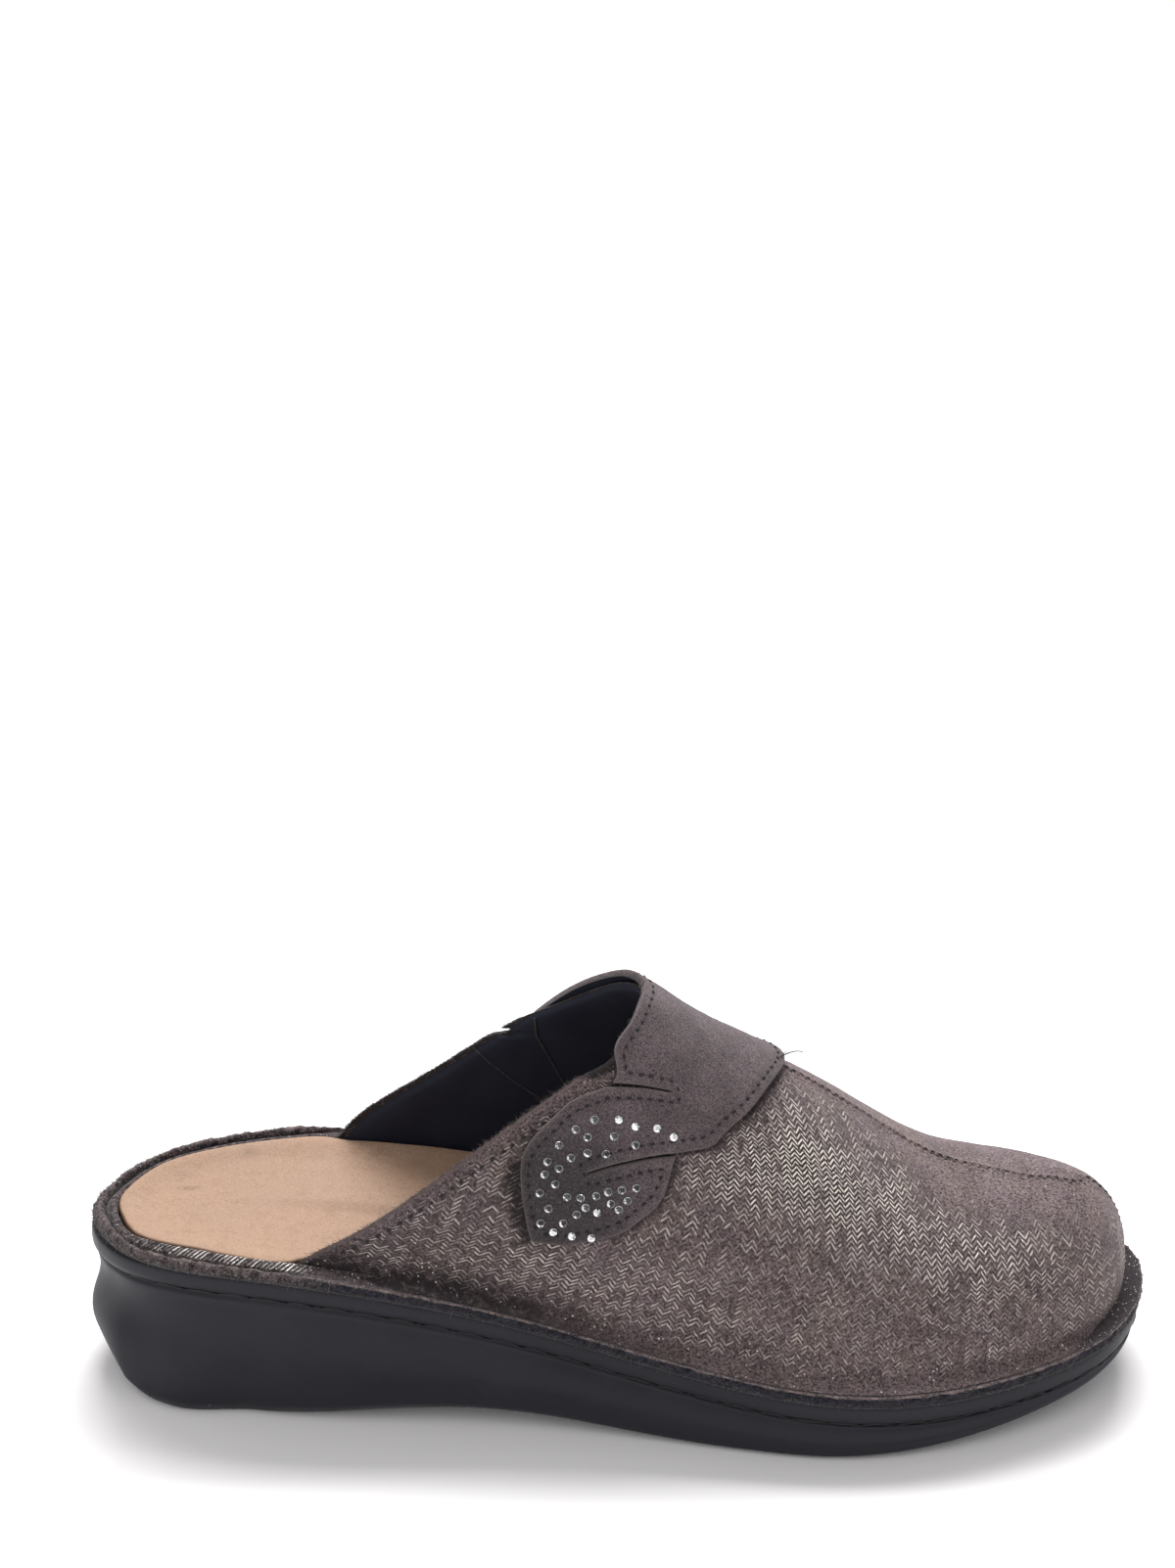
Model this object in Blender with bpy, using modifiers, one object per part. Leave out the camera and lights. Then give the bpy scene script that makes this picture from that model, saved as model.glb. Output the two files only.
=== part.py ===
"""Closed-toe slide (mule) for the right foot.

A moulded wedge outsole carries a welt, a sewn rim, a cupped footbed, a hollow upper and an instep
strap. Metres; +X points to the toe, +Y to the inner side of the foot and +Z up.
"""

import bmesh
import bpy
import numpy as np

# Driving dimensions
LENGTH = 0.262
TOE_TIP_Y = 0.005
GAP = 0.0003
STATIONS = 48

WELT_THICKNESS = 0.0052
WELT_INSET = 0.0005
WELT_ROUNDING = 0.0009
RAND_HEIGHT = 0.0038
RAND_WIDTH_VAMP = 0.0042
UPPER_WALL = 0.0022
UPPER_SEAT = 0.0006
UPPER_FOOT = 0.0011
STRAP_THICKNESS = 0.0020
STRAP_LIFT = 0.0004

ARCH_RISE = 0.0045
ARCH_START = 0.036
ARCH_END = 0.156
TOE_SPRING = 0.0105
SPRING_START = 0.180
SPRING_POWER = 1.6
HEEL_LIFT = 0.0010
HEEL_LIFT_END = 0.020
HEEL_PROFILE_FADES = (0.0025, 0.018)

# Extra width of the heel's lower edge: how much, and where it begins and ends
HEEL_SQUARE = 0.0045
HEEL_SQUARE_GROWS = (0.002, 0.011)
HEEL_SQUARE_FADES = (0.022, 0.042)
HEEL_SQUARE_TOP = 0.80

# Plan outline of the rim, measured from the heel back and from the foot's axis
OUTLINE = (
    # from_heel, outer_side, inner_side
    (0.0026, -0.0095, 0.0092),
    (0.0100, -0.0190, 0.0195),
    (0.0270, -0.0285, 0.0284),
    (0.0600, -0.0350, 0.0356),
    (0.1050, -0.0376, 0.0368),
    (0.1500, -0.0436, 0.0396),
    (0.1780, -0.0478, 0.0446),
    (0.2060, -0.0452, 0.0462),
    (0.2320, -0.0354, 0.0398),
    (0.2500, -0.0232, 0.0280),
    (0.2590, -0.0095, 0.0170),
)

# Height of the welt's top face along the foot
WELT_TOP = (
    # from_heel, height
    (0.000, 0.0378),
    (0.026, 0.0397),
    (0.050, 0.0399),
    (0.078, 0.0366),
    (0.105, 0.0312),
    (0.150, 0.0208),
    (0.180, 0.0169),
    (0.215, 0.0159),
    (0.245, 0.0176),
    (0.262, 0.0194),
)

# Side wall of the outsole, from the stitch line down to the tread
OUTSOLE_WALL = (
    # height_share, side_inset, heel_inset
    (1.00, 0.0006, 0.0006),
    (0.88, 0.0012, 0.0014),
    (0.66, 0.0014, 0.0006),
    (0.46, 0.0012, -0.0013),
    (0.30, 0.0016, -0.0004),
    (0.16, 0.0020, 0.0028),
    (0.06, 0.0030, 0.0066),
    (0.00, 0.0048, 0.0118),
)

# Width of the rim strip along each side of the foot
RAND_WIDTH = (
    # from_heel, outer_width, inner_width
    (0.0000, 0.0069, 0.0069),
    (0.0040, 0.0062, 0.0064),
    (0.0070, 0.0053, 0.0061),
    (0.0110, 0.0043, 0.0058),
    (0.0160, 0.0041, 0.0057),
    (0.0280, 0.0045, 0.0056),
    (0.0370, 0.0039, 0.0056),
    (0.0470, 0.0036, 0.0056),
    (0.0535, RAND_WIDTH_VAMP, RAND_WIDTH_VAMP),
    (LENGTH, RAND_WIDTH_VAMP, RAND_WIDTH_VAMP),
)

# The rim strip stands this far inside the outline at the heel back, less and less along the sides
RAND_TUCK = 0.0013
RAND_TUCK_END = 0.026

# Cross-section of the rim strip, as shares of its width and height
RAND_SECTION = (
    # width_share, height_share
    (0.02, 0.00),
    (-0.08, 0.45),
    (0.04, 0.88),
    (0.24, 1.00),
    (0.46, 0.86),
    (0.78, 0.94),
    (0.96, 0.76),
    (1.00, 0.00),
)

# Footbed: its inset from the outline, and the height of its edge above the welt
FOOTBED_INSET = (
    # from_heel, outer_inset, inner_inset
    (0.0000, 0.0073, 0.0073),
    (0.0040, 0.0066, 0.0068),
    (0.0070, 0.0057, 0.0065),
    (0.0110, 0.0047, 0.0062),
    (0.0160, 0.0045, 0.0061),
    (0.0280, 0.0049, 0.0060),
    (0.0370, 0.0043, 0.0060),
    (0.0440, 0.0044, 0.0060),
    (0.0500, 0.0066, 0.0066),
    (0.0568, 0.0085, 0.0085),
    (0.0750, 0.0096, 0.0096),
    (LENGTH, 0.0096, 0.0096),
)
FOOTBED_SPINE = (0.030, 0.226)
FOOTBED_LIP = 0.0006
FOOTBED_CENTRE = 0.0020
FOOTBED_EDGE = (
    # from_heel, outer_height, inner_height
    (0.0000, 0.0043, 0.0043),
    (0.0145, 0.0040, 0.0043),
    (0.0300, 0.0040, 0.0042),
    (0.0470, 0.0034, 0.0043),
    (0.0900, 0.0040, 0.0068),
    (0.1500, 0.0036, 0.0048),
    (LENGTH, 0.0036, 0.0036),
)

# Rings of the footbed's top, from its edge inwards
FOOTBED_CUP = (
    # width_share, drop
    (0.96, 0.0000),
    (0.78, 0.0011),
    (0.52, 0.0020),
    (0.24, 0.0024),
)

# Crest of the last along the foot, with the powers that shape each cross-section
CREST = (
    # from_heel, height, side, side_power, crown_power
    (0.040, 0.1040, 0.0020, 1.00, 2.00),
    (0.090, 0.1035, 0.0020, 1.00, 2.00),
    (0.133, 0.1020, 0.0022, 1.05, 2.00),
    (0.1435, 0.0945, 0.0027, 1.11, 2.00),
    (0.150, 0.0900, 0.0030, 1.15, 2.00),
    (0.172, 0.0782, 0.0040, 1.25, 2.00),
    (0.190, 0.0664, 0.0048, 1.35, 2.00),
    (0.209, 0.0543, 0.0052, 1.60, 2.05),
    (0.225, 0.0500, 0.0055, 2.10, 2.30),
    (0.240, 0.0482, 0.0058, 2.18, 2.60),
)
FAN_START = 0.196
TOE_STATION = LENGTH - RAND_WIDTH_VAMP - UPPER_SEAT
WALL_BULGE = 0.0010
BULGE_GROWS = (0.070, 0.130)

# Collar: where the upper begins on each side, from its foot (0) up to the crest (1)
COLLAR = (
    # girth, outer_start, inner_start
    (0.00, 0.0535, 0.0560),
    (0.15, 0.0564, 0.0582),
    (0.30, 0.0715, 0.0655),
    (0.45, 0.0898, 0.0816),
    (0.60, 0.1124, 0.1018),
    (0.70, 0.1260, 0.1180),
    (0.80, 0.1323, 0.1274),
    (0.90, 0.1353, 0.1328),
    (1.00, 0.1362, 0.1362),
)

# Instep strap: its two edges, from the tab's lower end (outer side) to its sewn end (inner side)
STRAP = (
    # girth_from_crest, rear_edge, front_edge
    (-0.665, 0.1106, 0.1180),
    (-0.645, 0.1098, 0.1238),
    (-0.620, 0.1092, 0.1294),
    (-0.580, 0.1084, 0.1347),
    (-0.540, 0.1080, 0.1389),
    (-0.490, 0.1088, 0.1416),
    (-0.435, 0.1137, 0.1436),
    (-0.385, 0.1198, 0.1502),
    (-0.344, 0.1276, 0.1542),
    (-0.265, 0.1294, 0.1602),
    (-0.200, 0.1320, 0.1638),
    (-0.100, 0.1349, 0.1680),
    (0.000, 0.1357, 0.1702),
    (0.100, 0.1325, 0.1680),
    (0.200, 0.1270, 0.1636),
    (0.300, 0.1176, 0.1580),
    (0.380, 0.1095, 0.1520),
)

# Two slits that free the tab: mouth at the strap's edge, tip inside it
SLIT_HALF_GIRTH = 0.0072
SLITS = (
    # mouth_girth, mouth_from_heel, tip_girth, tip_from_heel
    (-0.436, 0.1460, -0.506, 0.1230),
    (-0.341, 0.1250, -0.297, 0.1423),
)

COLOURS = {
    # name: (base colour, roughness)
    "outsole": ((0.018, 0.019, 0.022), 0.45),
    "welt": ((0.014, 0.015, 0.018), 0.40),
    "rand": ((0.060, 0.046, 0.042), 0.95),
    "insole": ((0.730, 0.510, 0.360), 0.80),
    "upper": ((0.170, 0.130, 0.120), 0.90),
    "strap": ((0.115, 0.092, 0.092), 0.95),
}


def column(table, index):
    return np.array([row[index] for row in table])


def natural_spline(knots, values, at):
    """Smooth curve through the knots, straight at both ends."""
    steps = np.diff(knots)
    matrix = np.eye(len(knots))
    right = np.zeros(len(knots))
    for i in range(1, len(knots) - 1):
        matrix[i, i - 1:i + 2] = steps[i - 1], 2 * (steps[i - 1] + steps[i]), steps[i]
        slopes = np.diff(values[i - 1:i + 2]) / steps[i - 1:i + 1]
        right[i] = 6 * (slopes[1] - slopes[0])
    bend = np.linalg.solve(matrix, right)
    at = np.clip(at, knots[0], knots[-1])
    i = np.clip(np.searchsorted(knots, at, side="right") - 1, 0, len(knots) - 2)
    near = (knots[i + 1] - at) / steps[i]
    far = 1 - near
    lift = (near ** 3 - near) * bend[i] + (far ** 3 - far) * bend[i + 1]
    return near * values[i] + far * values[i + 1] + lift * steps[i] ** 2 / 6


def from_table(table, index, at):
    return natural_spline(column(table, 0), column(table, index), np.asarray(at, float))


def straight(table, index, at):
    """Value between the rows of a table, straight from row to row."""
    return np.interp(at, column(table, 0), column(table, index))


def smooth_step(at, start, end):
    t = np.clip((np.asarray(at, float) - start) / (end - start), 0, 1)
    return t * t * (3 - 2 * t)


def outline_side(index, samples=801):
    """One side of the rim from heel to toe, with its outward normals."""
    turn = np.linspace(0, np.pi, samples)
    knots = np.concatenate([[0], column(OUTLINE, 0), [LENGTH]])
    sides = np.concatenate([[0], column(OUTLINE, index), [TOE_TIP_Y]])
    angles = np.arccos(1 - 2 * knots / LENGTH)
    points = np.stack([LENGTH / 2 * (1 - np.cos(turn)), natural_spline(angles, sides, turn)], -1)
    along = np.gradient(points, axis=0)
    along[0] = 0, sides[1]
    along[-1] = 0, TOE_TIP_Y - sides[-2]
    along /= np.linalg.norm(along, axis=1, keepdims=True)
    outward = np.stack([-along[:, 1], along[:, 0]], -1) * np.sign(sides[1])
    return points, outward


SIDES = {-1: outline_side(1), 1: outline_side(2)}


def edge(side, from_heel, inset):
    """Point of the outline on one side, moved inwards by the inset."""
    points, outward = SIDES[side]
    turn = np.arccos(1 - 2 * np.clip(from_heel, 0, LENGTH) / LENGTH) / np.pi * (len(points) - 1)
    i = np.clip(turn.astype(int), 0, len(points) - 2)
    f = (turn - i)[..., None]
    place = points[i] * (1 - f) + points[i + 1] * f
    normal = outward[i] * (1 - f) + outward[i + 1] * f
    return place - normal * np.broadcast_to(inset, turn.shape)[..., None]


def station_places():
    return LENGTH / 2 * (1 - np.cos(np.linspace(0, np.pi, STATIONS + 1)))


def ring(inset, height):
    """Closed ring round the sole: outer side heel to toe, then inner side back to the heel.

    The inset is asked for with the places and the side's column in the tables.
    """
    places = station_places()
    outer = edge(-1, places, inset(places, 1))
    inner = edge(1, places, inset(places, 2))[-2:0:-1]
    flat = np.concatenate([outer, inner])
    return np.column_stack([flat, height(flat)])


def welt_top(from_heel):
    return from_table(WELT_TOP, 1, from_heel)


def tread_height(from_heel):
    """Underside: flat under heel and forefoot, arched between them, lifted at both ends."""
    x = np.asarray(from_heel, float)
    across_arch = np.clip((x - ARCH_START) / (ARCH_END - ARCH_START), 0, 1)
    arch = ARCH_RISE * np.sin(np.pi * across_arch) ** 2
    spring = TOE_SPRING * np.clip((x - SPRING_START) / (LENGTH - SPRING_START), 0, 1) ** SPRING_POWER
    heel = HEEL_LIFT * np.clip(1 - x / HEEL_LIFT_END, 0, 1) ** 2
    return arch + spring + heel


def upper_form(side, station, girth):
    """Outer face of the upper: girth runs from the foot of the wall (0) to the crest (1)."""
    station, girth = np.broadcast_arrays(np.asarray(station, float), np.asarray(girth, float))
    seat = RAND_WIDTH_VAMP + UPPER_SEAT
    fan = np.clip((station - FAN_START) / (TOE_STATION - FAN_START), 0, 1)
    base = edge(side, station + (LENGTH - TOE_STATION) * fan ** 2, seat)
    crest_x = station - (TOE_STATION - column(CREST, 0)[-1]) * fan ** 2
    crest = np.stack([crest_x, from_table(CREST, 2, crest_x)], -1)
    top = from_table(CREST, 1, crest_x)
    foot = welt_top(base[..., 0]) + UPPER_FOOT
    turn = girth * np.pi / 2
    rise = np.sin(turn) ** (2 / np.interp(crest_x, column(CREST, 0), column(CREST, 3)))
    reach = np.cos(turn) ** (2 / np.interp(crest_x, column(CREST, 0), column(CREST, 4)))
    out = base - crest
    away = out / np.linalg.norm(out, axis=-1, keepdims=True)
    bulge = WALL_BULGE * 4 * rise * (1 - rise) * smooth_step(station, *BULGE_GROWS)
    flat = crest + out * reach[..., None] + away * bulge[..., None]
    return np.concatenate([flat, (foot + (top - foot) * rise)[..., None]], -1)


def upper_point(side, station, girth, lift=0.0):
    """Point on the upper, moved off its face by the lift."""
    step = 0.0005
    turn = 0.01
    ahead = upper_form(side, np.minimum(station + step, TOE_STATION), girth)
    along = ahead - upper_form(side, station - step, girth)
    low = np.clip(girth - turn, 0, 1 - turn / 10)
    high = np.clip(girth + turn, 0, 1 - turn / 10)
    upward = upper_form(side, station, high) - upper_form(side, station, low)
    normal = np.cross(along, upward) * -side
    normal /= np.linalg.norm(normal, axis=-1, keepdims=True)
    return upper_form(side, station, girth) + normal * lift


def over_crest(station, girth_from_crest, lift):
    """Point on the upper by its signed girth: outer side negative, inner side positive."""
    girth = 1 - np.abs(girth_from_crest)
    outer = upper_point(-1, station, girth, lift)
    inner = upper_point(1, station, girth, lift)
    share = smooth_step(girth_from_crest, -0.02, 0.02)[..., None]
    return outer * (1 - share) + inner * share


def new_object(name, points, faces):
    mesh = bpy.data.meshes.new(name)
    mesh.from_pydata([tuple(p) for p in points], [], faces)
    shape = bmesh.new()
    shape.from_mesh(mesh)
    bmesh.ops.recalc_face_normals(shape, faces=shape.faces)
    shape.to_mesh(mesh)
    shape.free()
    mesh.shade_smooth()
    mesh.set_sharp_from_angle(angle=np.radians(45))
    return bpy.data.objects.new(name, mesh)


def material(name):
    colour, roughness = COLOURS[name]
    made = bpy.data.materials.new(name)
    made.use_nodes = True
    shader = made.node_tree.nodes["Principled BSDF"]
    shader.inputs["Base Color"].default_value = (*colour, 1)
    shader.inputs["Roughness"].default_value = roughness
    return made


def stacked(rings, closed=False):
    """Walls between neighbouring rings, with caps on the first and last unless the stack closes."""
    count = len(rings[0])
    points = np.concatenate(rings)
    faces = []
    for k in range(len(rings) if closed else len(rings) - 1):
        low = k * count
        high = (k + 1) % len(rings) * count
        for i in range(count):
            j = (i + 1) % count
            faces.append((low + i, low + j, high + j, high + i))
    if not closed:
        for start in (0, (len(rings) - 1) * count):
            faces += cap(start, count)
    return points, faces


def cap(start, count):
    """Strips across a ring, each from the outer side to the inner side."""
    half = count // 2
    faces = [(start, start + 1, start + count - 1), (start + half - 1, start + half, start + half + 1)]
    for i in range(1, half - 1):
        faces.append((start + i, start + i + 1, start + count - i - 1, start + count - i))
    return faces


def make_outsole():
    def wall(share, side_inset, heel_inset):
        square = HEEL_SQUARE * (1 - smooth_step(share, 0, HEEL_SQUARE_TOP))

        def inset(x, _):
            wide = square * smooth_step(x, *HEEL_SQUARE_GROWS) * (1 - smooth_step(x, *HEEL_SQUARE_FADES))
            return heel_inset + (side_inset - heel_inset) * smooth_step(x, *HEEL_PROFILE_FADES) - wide

        def height(flat):
            top = welt_top(flat[:, 0]) - WELT_THICKNESS - GAP
            low = tread_height(flat[:, 0])
            return low + (top - low) * share

        return ring(inset, height)

    return new_object("outsole", *stacked([wall(*row) for row in OUTSOLE_WALL]))


def make_welt():
    def level(share, inset):
        return ring(lambda x, _: np.full_like(x, inset),
                    lambda flat: welt_top(flat[:, 0]) - WELT_THICKNESS * share)

    return new_object("welt", *stacked([
        level(1.0, WELT_INSET + WELT_ROUNDING),
        level(0.8, WELT_INSET),
        level(0.2, WELT_INSET),
        level(0.0, WELT_INSET + WELT_ROUNDING),
    ]))


def make_rand():
    def level(width_share, height_share):
        def inset(x, index):
            tuck = RAND_TUCK * (1 - smooth_step(x, 0, RAND_TUCK_END))
            return tuck + (straight(RAND_WIDTH, index, x) - tuck) * width_share

        return ring(inset, lambda flat: welt_top(flat[:, 0]) + GAP + RAND_HEIGHT * height_share)

    rings = [level(*row) for row in RAND_SECTION]
    return new_object("rand", *stacked(rings, closed=True))


def make_insole():
    places = station_places()
    spine_x = np.clip(places, *FOOTBED_SPINE)
    spine_y = (edge(-1, spine_x, 0)[:, 1] + edge(1, spine_x, 0)[:, 1]) / 2
    spine = np.column_stack([spine_x, spine_y])

    def level(width_share, above_welt):
        loops = []
        for side, index in ((-1, 1), (1, 2)):
            inset = straight(FOOTBED_INSET, index, places)
            flat = spine + (edge(side, places, inset) - spine) * width_share
            rise = above_welt(from_table(FOOTBED_EDGE, index, places))
            loops.append(np.column_stack([flat, welt_top(flat[:, 0]) + rise]))
        return np.concatenate([loops[0], loops[1][-2:0:-1]])

    def cupped(width_share, drop):
        keep = (1 + width_share) / 2
        return level(width_share, lambda rim: rim * keep + FOOTBED_CENTRE * (1 - width_share) - drop)

    rings = [level(1.0, lambda rim: np.full_like(rim, GAP)), level(1.0, lambda rim: rim - FOOTBED_LIP)]
    rings += [cupped(*row) for row in FOOTBED_CUP]
    return new_object("insole", *stacked(rings))


def make_upper():
    """Open outer face in two halves that share the crest and the toe line, then thickened inwards."""
    girths = 1 - np.linspace(1, 0, 16) ** 1.3
    spread = np.sin(np.linspace(0, np.pi / 2, 38))
    points = []
    faces = []
    for side, index in ((-1, 1), (1, 2)):
        start = from_table(COLLAR, index, girths)
        station = start[None, :] + (TOE_STATION - start)[None, :] * spread[:, None]
        grid = upper_form(side, station, np.broadcast_to(girths, station.shape))
        first = len(points)
        points += [tuple(p) for p in grid.reshape(-1, 3)]
        width = len(girths)
        for i in range(len(spread) - 1):
            for j in range(width - 1):
                a = first + i * width + j
                faces.append((a, a + width, a + width + 1, a + 1))
    upper = new_object("upper", points, faces)
    shape = bmesh.new()
    shape.from_mesh(upper.data)
    bmesh.ops.remove_doubles(shape, verts=shape.verts, dist=0.00005)
    bmesh.ops.recalc_face_normals(shape, faces=shape.faces)
    shape.to_mesh(upper.data)
    shape.free()
    shell = upper.modifiers.new("wall", "SOLIDIFY")
    shell.thickness = UPPER_WALL
    shell.offset = -1
    shell.use_even_offset = True
    return upper


def band(name, rows, across, low, high):
    """Solid between two forms larger than the upper, within rows of (girth, rear, front)."""
    girth = np.array([row[0] for row in rows])[:, None]
    rear = np.array([row[1] for row in rows])[:, None]
    front = np.array([row[2] for row in rows])[:, None]
    share = np.linspace(0, 1, across)[None, :]
    station = rear + (front - rear) * share
    girths = np.broadcast_to(girth, station.shape)
    under = over_crest(station, girths, low).reshape(-1, 3)
    over = over_crest(station, girths, high).reshape(-1, 3)
    count = len(under)
    faces = []
    for i in range(len(rows) - 1):
        for j in range(across - 1):
            a = i * across + j
            quad = (a, a + 1, a + across + 1, a + across)
            faces.append(quad)
            faces.append(tuple(count + k for k in quad[::-1]))
    rim = [j for j in range(across)]
    rim += [i * across + across - 1 for i in range(1, len(rows))]
    rim += [(len(rows) - 1) * across + j for j in range(across - 2, -1, -1)]
    rim += [i * across for i in range(len(rows) - 2, 0, -1)]
    for a, b in zip(rim, rim[1:] + rim[:1]):
        faces.append((a, count + a, count + b, b))
    return new_object(name, np.concatenate([under, over]), faces)


def make_strap(cutters):
    girths = np.linspace(STRAP[0][0], STRAP[-1][0], 30)
    rows = np.column_stack([girths, from_table(STRAP, 1, girths), from_table(STRAP, 2, girths)])
    strap = band("strap", rows, 8, STRAP_LIFT, STRAP_LIFT + STRAP_THICKNESS)
    for number, slit in enumerate(SLITS):
        cutter = slit_wedge(f"slit_cutter_{number}", *slit)
        cutter.hide_render = True
        cutter.display_type = "WIRE"
        cutters.objects.link(cutter)
        cut = strap.modifiers.new(f"slit_{number}", "BOOLEAN")
        cut.operation = "DIFFERENCE"
        cut.object = cutter
    return strap


def slit_wedge(name, mouth_girth, mouth_x, tip_girth, tip_x):
    """Wedge through the strap, wide at its mouth and narrow at its tip."""
    share = np.linspace(0, 1, 5)
    girth = mouth_girth + (tip_girth - mouth_girth) * share
    station = mouth_x + (tip_x - mouth_x) * share
    half = SLIT_HALF_GIRTH * (1 - 0.9 * share)
    low = STRAP_LIFT - 0.001
    high = STRAP_LIFT + STRAP_THICKNESS + 0.001
    rails = []
    for sign, lift in ((-1, low), (1, low), (1, high), (-1, high)):
        rails.append(over_crest(station, girth + sign * half, lift))
    points = np.stack(rails, axis=1).reshape(-1, 3)
    faces = [(0, 1, 2, 3), tuple(len(points) - 4 + k for k in range(4))]
    for i in range(len(share) - 1):
        for k in range(4):
            a = 4 * i + k
            b = 4 * i + (k + 1) % 4
            faces.append((a, b, b + 4, a + 4))
    return new_object(name, points, faces)


def new_collection(name):
    made = bpy.data.collections.new(name)
    bpy.context.scene.collection.children.link(made)
    return made


def main():
    for old in list(bpy.data.objects):
        bpy.data.objects.remove(old, do_unlink=True)
    parts = new_collection("slide_sandal")
    cutters = new_collection("slide_sandal_cutters")
    cutters.hide_render = True
    pieces = [make_outsole(), make_welt(), make_rand(), make_insole(), make_upper(), make_strap(cutters)]
    corners = np.concatenate([[v.co[:] for v in piece.data.vertices] for piece in pieces])
    centre = (corners.min(axis=0) + corners.max(axis=0)) / 2
    stand = bpy.data.objects.new("slide_sandal_centre", None)
    stand.location = -centre[0], -centre[1], 0
    parts.objects.link(stand)
    for piece in pieces:
        piece.data.materials.append(material(piece.name))
        piece.parent = stand
        parts.objects.link(piece)
    for cutter in cutters.objects:
        cutter.parent = stand


main()
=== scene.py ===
import bmesh
import bpy
import numpy as np
from mathutils import Matrix, Vector, noise
from mathutils.bvhtree import BVHTree
from mathutils.geometry import delaunay_2d_cdt


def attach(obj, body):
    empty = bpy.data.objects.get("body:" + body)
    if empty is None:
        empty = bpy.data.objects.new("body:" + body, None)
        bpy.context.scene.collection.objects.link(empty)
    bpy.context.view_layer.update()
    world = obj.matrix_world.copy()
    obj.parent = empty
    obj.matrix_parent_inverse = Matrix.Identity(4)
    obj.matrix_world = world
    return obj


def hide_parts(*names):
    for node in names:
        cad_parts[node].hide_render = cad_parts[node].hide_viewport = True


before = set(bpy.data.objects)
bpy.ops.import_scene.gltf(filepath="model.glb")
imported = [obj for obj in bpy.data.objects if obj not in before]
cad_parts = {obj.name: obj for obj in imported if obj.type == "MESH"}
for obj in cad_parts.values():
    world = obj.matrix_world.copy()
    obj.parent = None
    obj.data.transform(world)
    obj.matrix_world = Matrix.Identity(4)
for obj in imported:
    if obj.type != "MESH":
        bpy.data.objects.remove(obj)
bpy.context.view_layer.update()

# Frame: the part's tables start at the heel back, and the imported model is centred
FRAME_SHIFT = np.array([-0.130518, 0.000770, 0.0])
MM = 0.001

# Photograph and its camera
PHOTO_SIZE = (1200, 1602)
FOCAL_PIXELS = 2500.0
CAMERA_PLACE = (-0.000318, -0.523630, 0.363420)
CAMERA_YAW = -0.0132
CAMERA_PITCH = 0.3802
SENSOR = 36.0

# Fineness of the shapes
OUTLINE_SAMPLES = 801
TUBE_SIDES = 6
COLLAR_SAMPLES = 400

# Both sides of the shoe: sign across the shoe and column in the tables
BOTH_SIDES = ((-1, 1), (1, 2))

# Driving dimensions, as in the part's source
LENGTH = 0.262
TOE_TIP_Y = 0.005
GAP = 0.0003
WELT_THICKNESS = 0.0052
RAND_HEIGHT = 0.0038
RAND_WIDTH_VAMP = 0.0042
UPPER_SEAT = 0.0006
UPPER_FOOT = 0.0011
STRAP_THICKNESS = 0.0020
STRAP_LIFT = 0.0004
ARCH_RISE = 0.0045
ARCH_START = 0.036
ARCH_END = 0.156
TOE_SPRING = 0.0105
SPRING_START = 0.180
SPRING_POWER = 1.6
HEEL_LIFT = 0.0010
HEEL_LIFT_END = 0.020
HEEL_PROFILE_FADES = (0.0025, 0.018)
HEEL_SQUARE = 0.0045
HEEL_SQUARE_GROWS = (0.002, 0.011)
HEEL_SQUARE_FADES = (0.022, 0.042)
HEEL_SQUARE_TOP = 0.80

OUTLINE = (
    # from_heel, outer_side, inner_side
    (0.0026, -0.0095, 0.0092),
    (0.0100, -0.0190, 0.0195),
    (0.0270, -0.0285, 0.0284),
    (0.0600, -0.0350, 0.0356),
    (0.1050, -0.0376, 0.0368),
    (0.1500, -0.0436, 0.0396),
    (0.1780, -0.0478, 0.0446),
    (0.2060, -0.0452, 0.0462),
    (0.2320, -0.0354, 0.0398),
    (0.2500, -0.0232, 0.0280),
    (0.2590, -0.0095, 0.0170),
)

WELT_TOP = (
    # from_heel, height
    (0.000, 0.0378),
    (0.026, 0.0397),
    (0.050, 0.0399),
    (0.078, 0.0366),
    (0.105, 0.0312),
    (0.150, 0.0208),
    (0.180, 0.0169),
    (0.215, 0.0159),
    (0.245, 0.0176),
    (0.262, 0.0194),
)

OUTSOLE_WALL = (
    # height_share, side_inset, heel_inset
    (0.00, 0.0048, 0.0118),
    (0.06, 0.0030, 0.0066),
    (0.16, 0.0020, 0.0028),
    (0.30, 0.0016, -0.0004),
    (0.46, 0.0012, -0.0013),
    (0.66, 0.0014, 0.0006),
    (0.88, 0.0012, 0.0014),
    (1.00, 0.0006, 0.0006),
)

RAND_WIDTH = (
    # from_heel, outer_width, inner_width
    (0.0000, 0.0069, 0.0069),
    (0.0040, 0.0062, 0.0064),
    (0.0070, 0.0053, 0.0061),
    (0.0110, 0.0043, 0.0058),
    (0.0160, 0.0041, 0.0057),
    (0.0280, 0.0045, 0.0056),
    (0.0370, 0.0039, 0.0056),
    (0.0470, 0.0036, 0.0056),
    (0.0535, 0.0042, 0.0042),
    (0.2620, 0.0042, 0.0042),
)

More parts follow.
